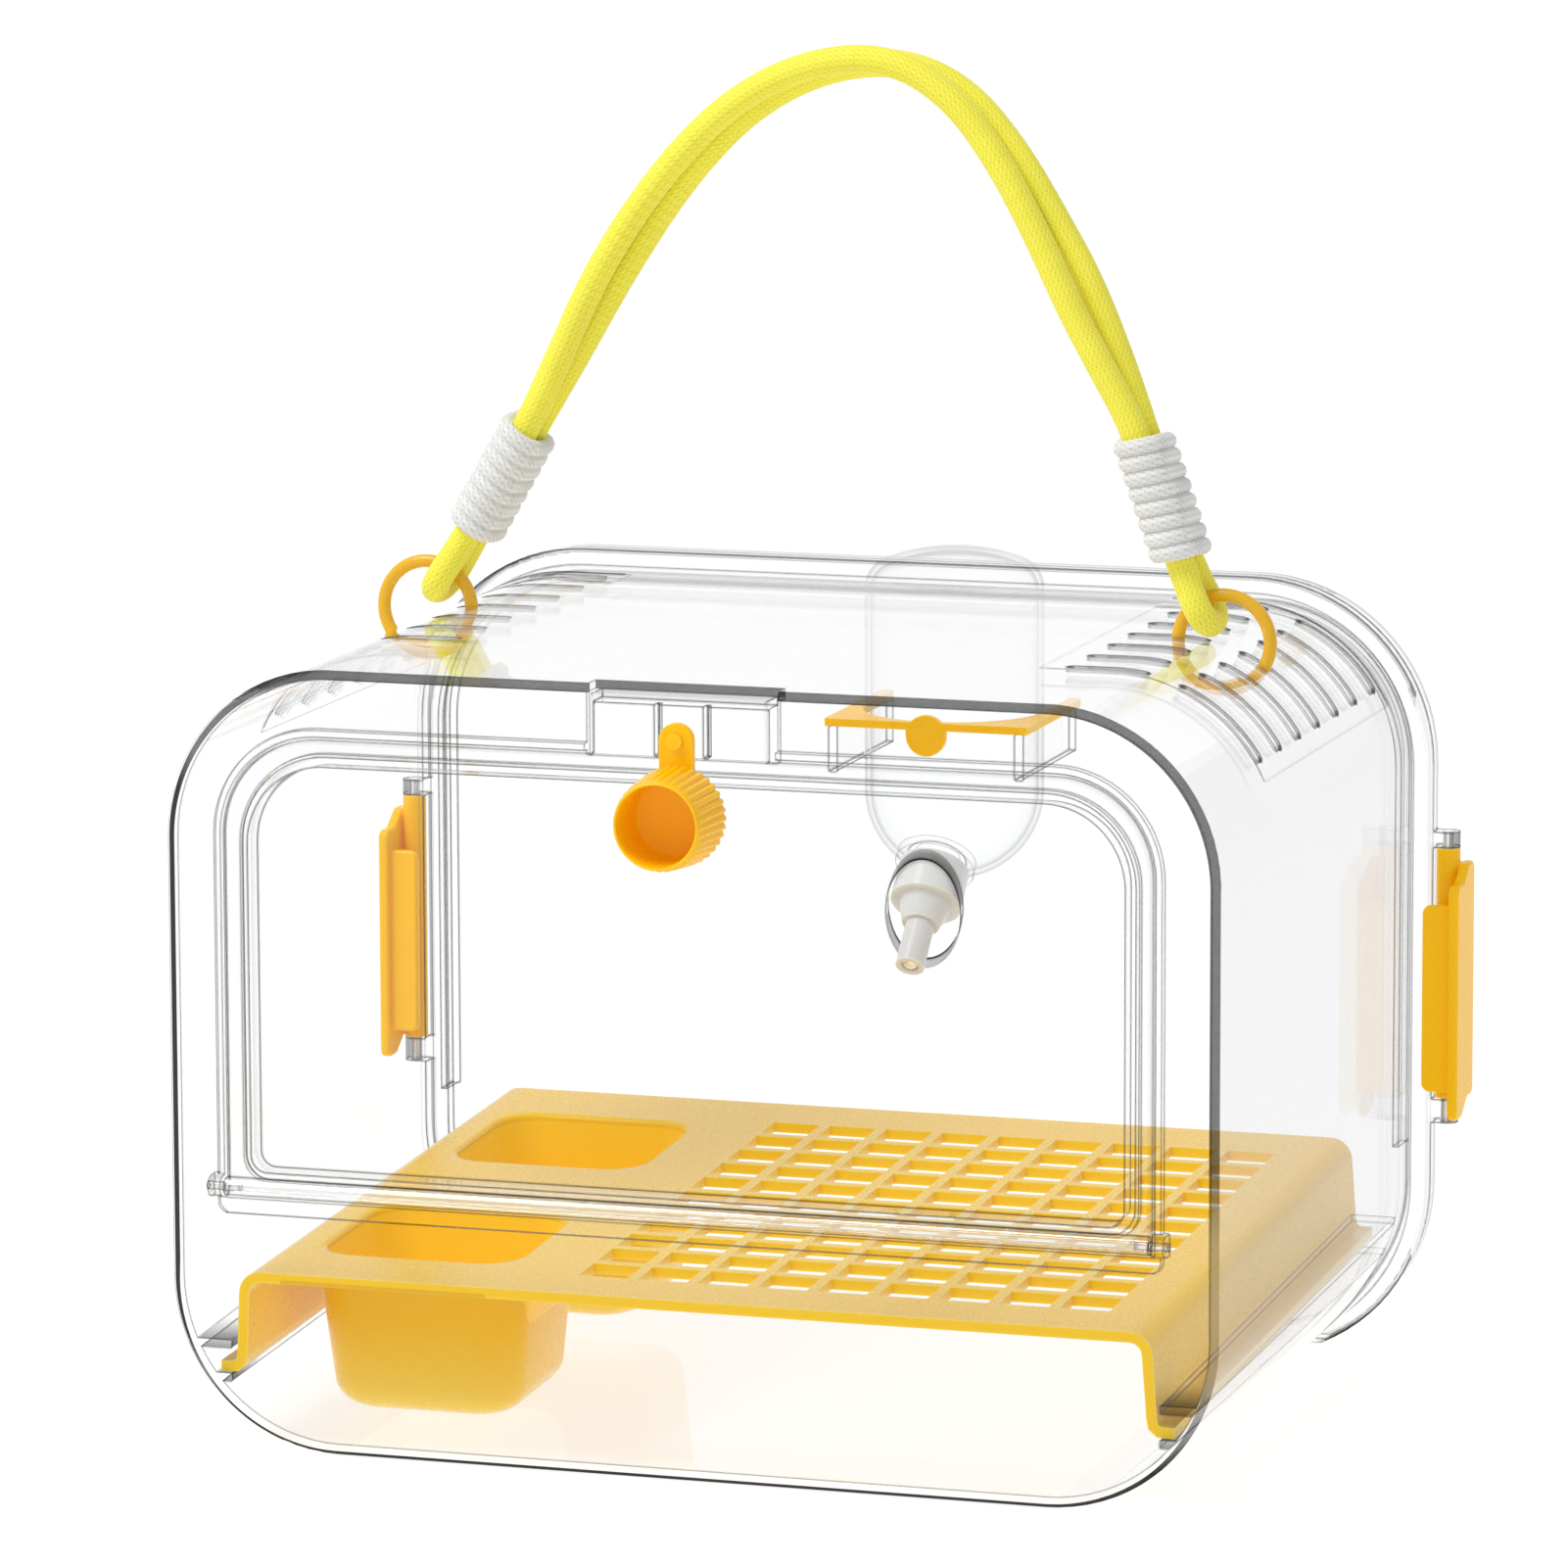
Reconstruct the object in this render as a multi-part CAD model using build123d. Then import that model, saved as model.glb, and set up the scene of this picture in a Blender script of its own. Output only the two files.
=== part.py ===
from build123d import *
import os
from math import sin, cos, tan, radians, sqrt

os.makedirs("parts", exist_ok=True)

# Bird travel carrier, in millimetres.  X is across, Y runs from the door (-Y)
# to the rear cover (+Y), Z is up.  The origin is the middle of the flat base.

# ---- body -------------------------------------------------------------------
body_width = 280.0
body_height = 205.0
body_depth = 210.0
corner_radius = 45.0
wall = 2.4
front_edge_radius = 2.2
flange_edge_radius = 1.4
flange_outset = 4.5
shell_flange_thickness = 5.0
cover_thickness = 6.0
plug_depth = 7.0
plug_wall = 1.8
plug_clearance = 0.3
plug_low = 56.0

# ---- door -------------------------------------------------------------------
frame_half_width = 126.0
frame_bottom = 62.7
frame_top_margin = 15.0
frame_top_radius = 28.0
frame_bottom_radius = 3.0
frame_wall = 2.0
frame_height = 2.0
sill_height = 4.3
ear_width = 3.5
ear_radius = 2.9
door_clearance = 0.6
door_gap = 0.4
door_edge_radius = 0.7
door_thickness = 2.2
door_flange_width = 4.8
door_dish_depth = 6.0
door_dish_wall = 2.2
window_thickness = 1.8
door_dish_clearance = 0.8
window_radius = 23.0
window_low_radius = 6.5
hinge_pin_radius = 1.2
hinge_pin_length = 9.0
hinge_height_in_frame = 7.3
knuckle_radius = 2.4
running_clearance = 0.05
tongue_half_width = 23.4
tongue_side_clearance = 1.8
tongue_drop = 2.0
tongue_ledge_depth = 6.5
tongue_rib_spacing = 13.0
notch_end_clearance = 0.5

# ---- door pull --------------------------------------------------------------
pull_pin_drop = 10.8
pull_pin_radius = 1.2
pull_head_radius = 1.9
pull_tab_thickness = 2.2
pull_tab_half_width = 4.5
pull_gap = 0.4
cup_radius_back = 12.3
cup_radius_front = 11.3
cup_length = 18.5
cup_wall = 0.9
cup_floor = 3.4
cup_drop = 19.2
cup_rib_count = 36
cup_rib_radius = 0.55

# ---- vents and rings --------------------------------------------------------
vent_rows = 7
vent_pitch = 19.5
vent_first_row = -41.0
vent_width = 5.0
vent_roof_start = 82.0
vent_upper_end = 12.0
vent_lower_start = 22.5
vent_lower_end = 60.0
vent_panel_recess = 0.4
vent_panel_margin = 5.5
vent_panel_end = 66.0
ring_row = 3
ring_radius = 12.4
ring_wire_radius = 1.75
ring_drop = 1.5
ring_x_right = 108.0
ring_x_left = -112.5
ring_slit = 0.5

# ---- clips ------------------------------------------------------------------
clip_low = 64.6
clip_high = 133.3
clip_wall = 2.8
clip_pin_radius = 1.5
clip_barrel_radius = 3.2
clip_barrel_low = 68.8
clip_barrel_high = 137.0
clip_reach = 8.5
clip_lip = 2.2
clip_heel = 5.5
clip_edge_step = 4.5
clip_edge_radius = 0.9
clip_hook_low = 72.0
clip_hook_high = 123.0
clip_hook_radius = 2.4
clip_hook_end = 3.5
clip_end_gap = 0.3
lug_height = 4.4
lug_low_height = 6.6
lug_radius = 3.2

# ---- tray -------------------------------------------------------------------
deck_height = 46.5
deck_thickness = 3.0
deck_half_width = 122.5
deck_end_clearance = 1.5
skirt_wall = 3.0
skirt_splay = 1.2
deck_edge_radius = 6.0
toe_width = 4.3
toe_thickness = 3.0
rail_thickness = 2.0
rail_reach = 124.6
rail_low = 17.2
rail_gap = 6.8
rail_end_gap = 2.5
tray_slope = 2.7
bowl_length_x = 54.0
bowl_length_y = 52.0
bowl_centre_x = -83.0
bowl_front_y = -52.0
bowl_rear_y = 48.0
bowl_wall = 2.4
bowl_bottom = 3.6
bowl_draft = 4.0
bowl_corner = 11.0
bowl_base_radius = 8.0
bowl_rim_radius = 1.6
grid_columns = 9
grid_rows = 11
grid_pitch_x = 16.1
grid_pitch_y = 15.2
grid_bar = 2.8
grid_left = -37.0
grid_front = -85.0

# ---- bottle -----------------------------------------------------------------
bottle_radius = 25.0
bottle_wall = 1.5
bottle_gap = 2.6
bottle_ball_height = 141.0
bottle_shoulder_height = 199.0
bottle_crown = 10.0
bottle_edge_rise = 4.0
bottle_edge_radius = 9.0
neck_tilt = 45.0
neck_radius = 8.0
neck_bore = 6.2
neck_length = 11.0
collar_radius = 11.2
collar_thickness = 1.6
cap_radius = 9.8
cap_gap = 0.6
cap_end = 1.6
cap_nose_length = 7.0
cap_nose_radius = 7.4
seal_thickness = 1.5
spout_radius = 4.0
spout_wall = 0.8
spout_stand_out = 14.0
ball_radius = 3.0
ball_lip = 2.5
neck_hole_clearance = 0.8
bracket_low = 149.0
bracket_high = 161.5
bracket_wall = 2.2
bracket_clearance = 0.5
bracket_past_centre = 25.4
cradle_thickness = 2.2
cradle_margin = 1.3
cradle_thumb_radius = 5.7
cradle_thumb_drop = 7.2
cradle_thumb_thickness = 1.6

# ---- handle -----------------------------------------------------------------
cord_radius = 3.75
wrap_radius_low = 6.2
wrap_radius_high = 5.7
strand_spacing = 7.8
wrap_clearance = 0.3

# Route of the handle cord: from inside the left wrap, over the front strand,
# round the right ring, back along the rear strand and round the left ring.
cord_route = [
    (-90.8, 13.6, 239.2), (-82.0, 13.6, 254.5), (-73.8, 13.9, 272.0), (-62.5, 14.1, 296.4),
    (-45.0, 14.3, 322.0), (-25.2, 14.2, 341.8), (-2.9, 13.8, 352.6), (19.0, 13.6, 353.9),
    (35.5, 14.0, 343.9), (47.5, 14.3, 328.0), (58.0, 14.3, 308.9), (67.0, 14.1, 289.8),
    (76.4, 13.8, 273.4), (84.9, 13.6, 258.7), (97.2, 13.6, 223.8), (104.5, 9.6, 208.6),
    (104.5, 25.4, 208.6), (97.2, 21.4, 223.8), (84.9, 21.4, 258.7), (78.6, 21.2, 276.6),
    (70.5, 20.9, 296.2), (62.0, 20.7, 311.1), (50.5, 20.7, 330.0), (36.5, 21.0, 345.7),
    (19.0, 21.4, 352.7), (-2.1, 21.2, 350.2), (-22.8, 20.8, 339.2), (-41.0, 20.7, 320.0),
    (-57.5, 20.9, 295.6), (-71.2, 21.1, 272.0), (-82.0, 21.4, 254.5), (-99.5, 21.4, 224.0),
    (-109.4, 25.4, 208.6), (-109.4, 9.6, 208.6), (-99.5, 13.6, 224.0), (-91.4, 13.6, 238.1),
]
wrap_left = ((-99.5, 17.5, 224.0), (-82.0, 17.5, 254.5))
wrap_right = ((97.2, 17.5, 223.8), (84.9, 17.5, 258.7))

# ---- places worked out from the sizes above ---------------------------------
front = -body_depth / 2
rear = body_depth / 2
cover_front = rear - cover_thickness
shell_rear = cover_front
flange_front = shell_rear - shell_flange_thickness
side = body_width / 2
corner_x = side - corner_radius
corner_z = body_height - corner_radius
deep = 400.0

door_back = front - door_gap
door_front = door_back - door_thickness
hinge_y = front - knuckle_radius - 0.3
hinge_z = frame_bottom + hinge_height_in_frame
door_half_width = frame_half_width - frame_wall - door_clearance
frame_top = body_height - frame_top_margin
door_top = frame_top - frame_wall - door_clearance
door_top_radius = frame_top_radius - frame_wall - door_clearance
dish_half_width = door_half_width - door_flange_width
dish_top = door_top - door_flange_width
dish_bottom = hinge_z + 2.0
tongue_top = body_height - tongue_drop
pull_pin_height = tongue_top - pull_pin_drop
ring_height = body_height - ring_drop
notch_half_width = tongue_half_width + tongue_side_clearance

clip_pin_x = side + flange_outset + clip_barrel_radius + clip_end_gap
clip_pin_y = (cover_front + rear) / 2
ring_y = vent_first_row + ring_row * vent_pitch

bottle_y = rear + bottle_gap + bottle_radius
neck_axis = Vector(0, -sin(radians(neck_tilt)), -cos(radians(neck_tilt)))
neck_start = Vector(0, bottle_y, bottle_ball_height)
cap_start = bottle_radius + collar_thickness + cap_gap
neck_end = bottle_radius + neck_length
cap_disc = neck_end + seal_thickness
cap_front = cap_disc + cap_end
spout_end = cap_front + cap_nose_length + spout_stand_out


# ---- shared shapes ----------------------------------------------------------
def along_y(profile, y_start, y_end):
    """Extrude an X-Z outline from y_start to y_end."""
    plane = Plane(origin=(0, y_end, 0), x_dir=(1, 0, 0), z_dir=(0, -1, 0))
    return extrude(plane * profile, amount=y_end - y_start)


def along_z(profile, z_start, z_end):
    return extrude(Pos(0, 0, z_start) * profile, amount=z_end - z_start)


def block(x, y, z):
    """A box from its low and high ends on each axis."""
    centre = Pos((x[0] + x[1]) / 2, (y[0] + y[1]) / 2, (z[0] + z[1]) / 2)
    return centre * Box(x[1] - x[0], y[1] - y[0], z[1] - z[0])


def body_outline(outset=0.0):
    size_x = body_width + 2 * outset
    size_z = body_height + 2 * outset
    return Pos(0, body_height / 2) * RectangleRounded(size_x, size_z, corner_radius + outset)


def panel_outline(half_width, low, high, high_radius, low_radius):
    """An upright panel with its own corner radius at the top and at the bottom."""
    sheet = Pos(0, (low + high) / 2) * Rectangle(2 * half_width, high - low)
    sheet = fillet(sheet.vertices().group_by(Axis.Y)[-1], high_radius)
    return fillet(sheet.vertices().group_by(Axis.Y)[0], low_radius)


def on_neck(distance):
    """A plane across the neck's axis, that far from the bottle's lower centre."""
    return Plane(origin=neck_start + neck_axis * distance, x_dir=(1, 0, 0), z_dir=neck_axis)


def neck_tube(outer, start, end, inner=0.0):
    ring = Circle(outer)
    if inner > 0:
        ring = ring - Circle(inner)
    return extrude(on_neck(start) * ring, amount=end - start)


def above_base(shape):
    reach = block((-deep, deep), (-deep, deep), (0, deep))
    return shape & reach


def mirrored(shape):
    return mirror(shape, about=Plane.YZ)


# ---- shell ------------------------------------------------------------------
def vent_sector(start, end, low, high):
    """The part of the shoulder between two angles from the roof, as a flat outline."""
    reach = high * 1.5
    arc = Pos(corner_x, corner_z) * (Circle(high) - Circle(low))
    points = [(0, 0), (reach * sin(radians(start)), reach * cos(radians(start))),
              (reach * sin(radians((start + end) / 2)), reach * cos(radians((start + end) / 2))),
              (reach * sin(radians(end)), reach * cos(radians(end)))]
    wedge = Pos(corner_x, corner_z) * make_face(Polyline(*points, close=True))
    return arc & wedge


def vent_end(angle, row_y):
    """A round slot end, bored square to the shoulder at that angle."""
    aim = Vector(sin(radians(angle)), 0, cos(radians(angle)))
    middle = Vector(corner_x, row_y, corner_z) + aim * (corner_radius - wall / 2)
    return Plane(origin=middle, z_dir=aim) * Cylinder(vent_width / 2, 3 * wall)


def vent_cutters(row_y):
    half = vent_width / 2
    turn = half / corner_radius * 57.3
    low, high = corner_radius - 2 * wall, corner_radius + wall
    rows = (row_y - half, row_y + half)
    roof = block((vent_roof_start + half, corner_x), rows,
                 (body_height - 2 * wall, body_height + wall))
    roof_end = Pos(vent_roof_start + half, row_y, body_height - wall / 2) * Cylinder(half, 3 * wall)
    upper = along_y(vent_sector(0, vent_upper_end - turn, low, high), *rows)
    lower = along_y(vent_sector(vent_lower_start + turn, vent_lower_end - turn, low, high), *rows)
    return [roof, roof_end, upper, vent_end(vent_upper_end - turn, row_y), lower,
            vent_end(vent_lower_start + turn, row_y), vent_end(vent_lower_end - turn, row_y)]


def vent_panel():
    """The shallow recess that the slots of one shoulder lie in."""
    last_row = vent_first_row + (vent_rows - 1) * vent_pitch
    y_range = (vent_first_row - vent_panel_margin, last_row + vent_panel_margin)
    skin = vent_sector(0, vent_panel_end, corner_radius - vent_panel_recess, corner_radius + wall)
    roof = block((vent_roof_start - vent_panel_margin, corner_x), y_range,
                 (body_height - vent_panel_recess, body_height + wall))
    return [along_y(skin, *y_range), roof]


def rail_pair():
    """The two ledges on the right wall that hold the tray's toe between them."""
    reach = along_y(body_outline(-wall / 2), front + wall / 2, flange_front)
    rails = []
    for low in (rail_low, rail_low + rail_thickness + rail_gap):
        y_range = (front + wall / 2, flange_front - rail_end_gap)
        rail = block((rail_reach, side), y_range, (low, low + rail_thickness))
        rails.append(sloped(rail) & reach)
    return rails


def sloped(shape):
    """Tip a shape about the front lower edge of the tray, which rises to the rear."""
    return shape.rotate(Axis((0, front + wall, rail_low + rail_thickness), (1, 0, 0)), tray_slope)


def door_frame_ring():
    inner_radius = frame_top_radius - frame_wall
    outer = panel_outline(frame_half_width, frame_bottom, frame_top, frame_top_radius,
                          frame_bottom_radius)
    inner = panel_outline(frame_half_width - frame_wall, frame_bottom + frame_wall,
                          frame_top - frame_wall, inner_radius, frame_bottom_radius / 2)
    frame = along_y(outer - inner, front - frame_height, front)
    sill = block((-frame_half_width + frame_wall, frame_half_width - frame_wall),
                 (front - frame_height, front), (frame_bottom, frame_bottom + sill_height))
    return frame + sill


def hinge_ear():
    """The round ear on the frame's right side that holds a door hinge pin."""
    start = frame_half_width - frame_wall
    disc = Plane(origin=(start, hinge_y, hinge_z), z_dir=(1, 0, 0)) * Circle(ear_radius)
    root = block((start, start + ear_width), (hinge_y, front),
                 (hinge_z - ear_radius, hinge_z + ear_radius))
    return extrude(disc, amount=ear_width) + root


def pin_bore(radius):
    bore = Plane(origin=(-deep, hinge_y, hinge_z), z_dir=(1, 0, 0)) * Circle(radius)
    return extrude(bore, amount=2 * deep)


def main_shell():
    shell = along_y(body_outline(), front, shell_rear)
    shell = fillet(shell.edges().group_by(Axis.Y)[0], front_edge_radius)
    flange = along_y(body_outline(flange_outset), flange_front, shell_rear)
    shell += above_base(fillet(flange.edges().group_by(Axis.Y)[0], flange_edge_radius))
    shell -= along_y(body_outline(-wall), front + wall, shell_rear)
    opening = panel_outline(dish_half_width + door_dish_clearance, dish_bottom - door_dish_clearance,
                            dish_top + door_dish_clearance, window_radius + door_dish_clearance,
                            window_low_radius)
    shell -= along_y(opening, front, front + wall)
    ear = hinge_ear()
    shell += door_frame_ring()
    shell += [ear, mirrored(ear)]
    shell -= block((-notch_half_width, notch_half_width),
                   (front - frame_height, front + tongue_ledge_depth + notch_end_clearance),
                   (door_top - notch_end_clearance, body_height))
    shell -= pin_bore(hinge_pin_radius)
    rails = rail_pair()
    shell += rails + [mirrored(rail) for rail in rails]
    cutters = vent_panel()
    for row in range(vent_rows):
        cutters += vent_cutters(vent_first_row + row * vent_pitch)
    shell -= cutters
    shell -= [mirrored(cutter) for cutter in cutters]
    return shell


# ---- rear cover -------------------------------------------------------------
def clip_lug(z_range):
    post = along_z(Pos(clip_pin_x, clip_pin_y) * Circle(lug_radius), *z_range)
    root = block((side, clip_pin_x), (cover_front, rear), z_range)
    return post + root


def bottle_bracket():
    """Two arms that stand out from the cover on both sides of the bottle."""
    inner = bottle_radius + bracket_clearance
    return block((inner, inner + bracket_wall), (rear, bottle_y + bracket_past_centre),
                 (bracket_low, bracket_high))


def rear_cover():
    cover = along_y(body_outline(flange_outset), cover_front, rear)
    cover = above_base(fillet(cover.edges().group_by(Axis.Y)[-1], flange_edge_radius))
    cover -= along_y(body_outline(-wall), cover_front, rear - wall)
    plug_outset = -wall - plug_clearance
    plug = body_outline(plug_outset) - body_outline(plug_outset - plug_wall)
    plug_reach = block((-deep, deep), (-deep, deep), (plug_low, deep))
    cover += along_y(plug, cover_front - plug_depth, rear - wall) & plug_reach
    lugs = [clip_lug((clip_barrel_high + clip_end_gap, clip_barrel_high + clip_end_gap + lug_height)),
            clip_lug((clip_barrel_low - clip_end_gap - lug_low_height, clip_barrel_low - clip_end_gap))]
    arm = bottle_bracket()
    cover += lugs + [mirrored(lug) for lug in lugs] + [arm, mirrored(arm)]
    bore = along_z(Pos(clip_pin_x, clip_pin_y) * Circle(clip_pin_radius), 0, deep)
    cover -= [bore, mirrored(bore)]
    return cover - neck_tube(cap_radius + neck_hole_clearance, bottle_radius, spout_end)


# ---- door -------------------------------------------------------------------
def front_door():
    sheet = panel_outline(door_half_width, hinge_z, door_top, door_top_radius, 0.4)
    opening = panel_outline(dish_half_width - door_dish_wall, dish_bottom + door_dish_wall,
                            dish_top - door_dish_wall, window_radius - door_dish_wall,
                            window_low_radius - door_dish_wall)
    dish = panel_outline(dish_half_width, dish_bottom, dish_top, window_radius, window_low_radius)
    tongue_width = (-tongue_half_width, tongue_half_width)
    door = along_y(sheet, door_front, door_back)
    door += block(tongue_width, (door_front, door_back), (dish_top, tongue_top))
    door = fillet(door.edges().group_by(Axis.Y)[0], door_edge_radius)
    rim = along_y(dish, door_back, front + door_dish_depth)
    door += fillet(rim.edges().group_by(Axis.Y)[-1], door_edge_radius)
    door -= along_y(opening, door_front, front + door_dish_depth - window_thickness)
    knuckle = Plane(origin=(-door_half_width, hinge_y, hinge_z), z_dir=(1, 0, 0))
    door += extrude(knuckle * Circle(knuckle_radius), amount=2 * door_half_width)
    door += block(tongue_width, (door_back - door_thickness / 2, front + tongue_ledge_depth),
                  (tongue_top - wall, tongue_top))
    for x in (-tongue_rib_spacing / 2, tongue_rib_spacing / 2):
        door += block((x - 0.6, x + 0.6), (door_back, front + wall), (door_top, tongue_top - wall))
    pull_bore = Plane(origin=(0, door_front, pull_pin_height), z_dir=(0, 1, 0))
    door -= extrude(pull_bore * Circle(pull_pin_radius), amount=door_thickness)
    return door - pin_bore(hinge_pin_radius + running_clearance)


def door_hinge_pin():
    start = frame_half_width + 2.4 - hinge_pin_length
    pin = Plane(origin=(start, hinge_y, hinge_z), z_dir=(1, 0, 0)) * Circle(hinge_pin_radius)
    return extrude(pin, amount=hinge_pin_length)


# ---- door pull --------------------------------------------------------------
tab_back = door_front - pull_gap
tab_front = tab_back - pull_tab_thickness


def pull_disc(radius, y_start, y_end):
    disc = Plane(origin=(0, y_start, pull_pin_height), z_dir=(0, 1, 0)) * Circle(radius)
    return extrude(disc, amount=y_end - y_start)


def door_pull():
    cup_z = pull_pin_height - cup_drop
    cup_back = tab_back
    cup_front = tab_back - cup_length
    at_back = Plane(origin=(0, cup_back, cup_z), z_dir=(0, -1, 0))
    at_front = Plane(origin=(0, cup_front, cup_z), z_dir=(0, -1, 0))
    pull = loft([at_back * Circle(cup_radius_back), at_front * Circle(cup_radius_front)])
    ribs = []
    for rib in range(cup_rib_count):
        turn = 360.0 / cup_rib_count * rib
        spot = Rot(0, 0, turn) * Pos(cup_radius_back - 0.1, 0)
        spot_front = Rot(0, 0, turn) * Pos(cup_radius_front - 0.1, 0)
        ribs.append(loft([at_back * (spot * Circle(cup_rib_radius)),
                          at_front * (spot_front * Circle(cup_rib_radius / 2))]))
    pull += ribs
    inner_back = Plane(origin=(0, cup_back - cup_floor, cup_z), z_dir=(0, -1, 0))
    pull -= loft([inner_back * Circle(cup_radius_back - cup_wall - 0.6),
                  at_front * Circle(cup_radius_front - cup_wall)])
    tab_width = (-pull_tab_half_width, pull_tab_half_width)
    tab = block(tab_width, (tab_front, tab_back), (cup_z + cup_radius_back - wall, pull_pin_height))
    tab += pull_disc(pull_tab_half_width, tab_front, tab_back)
    pull += tab
    return pull - pull_disc(pull_pin_radius + running_clearance, tab_front, tab_back)


def pull_pivot_pin():
    pin = pull_disc(pull_pin_radius, tab_front - 0.2, door_back + 0.1)
    pin += pull_disc(pull_head_radius, tab_front - 1.4, tab_front - 0.2)
    return pin + pull_disc(pull_head_radius, door_back + 0.1, door_back + 1.1)


# ---- clips ------------------------------------------------------------------
def clip_side_outline():
    """The side wall seen from the side: its front half sits one step lower."""
    lip_y = clip_pin_y - clip_reach - clip_wall - clip_lip
    heel_y = clip_pin_y + clip_heel
    bend = (heel_y - lip_y) / 3
    upper = [(heel_y, clip_high), (lip_y + 2 * bend, clip_high),
             (lip_y + bend, clip_high - clip_edge_step), (lip_y, clip_high - clip_edge_step)]
    lower = [(lip_y, clip_low), (lip_y + bend, clip_low),
             (lip_y + 2 * bend, clip_low + clip_edge_step), (heel_y, clip_low + clip_edge_step)]
    outline = make_face(Polyline(*upper, *lower, close=True))
    return fillet(outline.vertices(), clip_hook_radius)


def clip():
    """The right clip: a barrel on its pin, a web, a side wall and a hook plate."""
    hook_y = clip_pin_y - clip_reach
    side_x = clip_pin_x + clip_barrel_radius + clip_wall
    hook_x = side + clip_hook_end
    barrel = along_z(Pos(clip_pin_x, clip_pin_y) * Circle(clip_barrel_radius),
                     clip_barrel_low, clip_barrel_high)
    web = block((clip_pin_x, side_x - clip_wall / 2),
                (clip_pin_y - clip_wall / 2, clip_pin_y + clip_wall / 2),
                (clip_low + clip_edge_step, clip_high))
    side_plane = Plane(origin=(side_x - clip_wall, 0, 0), x_dir=(0, 1, 0), z_dir=(1, 0, 0))
    side_wall = extrude(side_plane * clip_side_outline(), amount=clip_wall)
    side_wall = fillet(side_wall.edges(), clip_edge_radius)
    hook_sheet = Rectangle(side_x - hook_x, clip_hook_high - clip_hook_low)
    hook_sheet = fillet(hook_sheet.vertices().group_by(Axis.X)[0], clip_hook_radius)
    hook_middle = Pos((side_x + hook_x) / 2, (clip_hook_high + clip_hook_low) / 2)
    hook = along_y(hook_middle * hook_sheet, hook_y - clip_wall, hook_y)
    hook = fillet(hook.edges(), clip_edge_radius)
    bore = Pos(clip_pin_x, clip_pin_y) * Circle(clip_pin_radius + running_clearance)
    shape = barrel + web + side_wall + hook
    return shape - along_z(bore, clip_barrel_low, clip_barrel_high)


def clip_pin():
    low = clip_barrel_low - clip_end_gap - lug_low_height
    high = clip_barrel_high + clip_end_gap + lug_height
    return along_z(Pos(clip_pin_x, clip_pin_y) * Circle(clip_pin_radius), low, high)


# ---- tray -------------------------------------------------------------------
toe_low = rail_low + rail_thickness
tray_front = front + wall + deck_end_clearance
tray_rear = rear - wall - deck_end_clearance


def tray_section():
    """Cross-section of the deck with its two skirts and their outward toes."""
    outer_low = deck_half_width + skirt_splay
    toe_end = outer_low + toe_width
    under = deck_height - deck_thickness
    inner = deck_half_width - skirt_wall
    right = [(0, deck_height), (deck_half_width, deck_height),
             (outer_low, toe_low + toe_thickness), (toe_end, toe_low + toe_thickness),
             (toe_end, toe_low), (inner + skirt_splay, toe_low), (inner, under), (0, under)]
    left = [(-x, z) for x, z in reversed(right[1:-1])]
    section = make_face(Polyline(*right, *left, close=True))
    top = section.vertices().group_by(Axis.Y)[-1].sort_by(Axis.X)
    return fillet([top[0], top[-1]], deck_edge_radius)


def bowl_outline(shrink):
    corner = max(bowl_corner - shrink / 2, 2.0)
    return RectangleRounded(bowl_length_x - 2 * shrink, bowl_length_y - 2 * shrink, corner)


def bowl_block(centre_y, inset, low):
    place = Pos(bowl_centre_x, centre_y)
    top = Pos(0, 0, deck_height) * place * bowl_outline(inset)
    bottom = Pos(0, 0, low) * place * bowl_outline(inset + bowl_draft)
    bowl = loft([bottom, top])
    return fillet(bowl.edges().group_by(Axis.Z)[0], bowl_base_radius - inset - bowl_wall)


def tray_moulding():
    """The whole one-piece moulding, level, before it is parted into its nodes."""
    tray = along_y(tray_section(), tray_front, tray_rear)
    bowls = (bowl_front_y, bowl_rear_y)
    for centre_y in bowls:
        tray += bowl_block(centre_y, -bowl_wall, bowl_bottom)
    for centre_y in bowls:
        tray -= bowl_block(centre_y, 0, bowl_bottom + bowl_wall)
    rims = [edge for edge in tray.edges().group_by(Axis.Z)[-1]
            if abs(edge.center().X - bowl_centre_x) < bowl_length_x / 2 + 1
            and tray_front + 1 < edge.center().Y < tray_rear - 1]
    tray = fillet(rims, bowl_rim_radius)
    hole = Rectangle(grid_pitch_x - grid_bar, grid_pitch_y - grid_bar)
    first_x = grid_left + grid_pitch_x / 2
    first_y = grid_front + grid_pitch_y / 2
    holes = Sketch() + [Pos(first_x + column * grid_pitch_x, first_y + row * grid_pitch_y) * hole
                        for column in range(grid_columns) for row in range(grid_rows)]
    return tray - along_z(holes, deck_height - 2 * deck_thickness, deck_height + 1)


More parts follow.
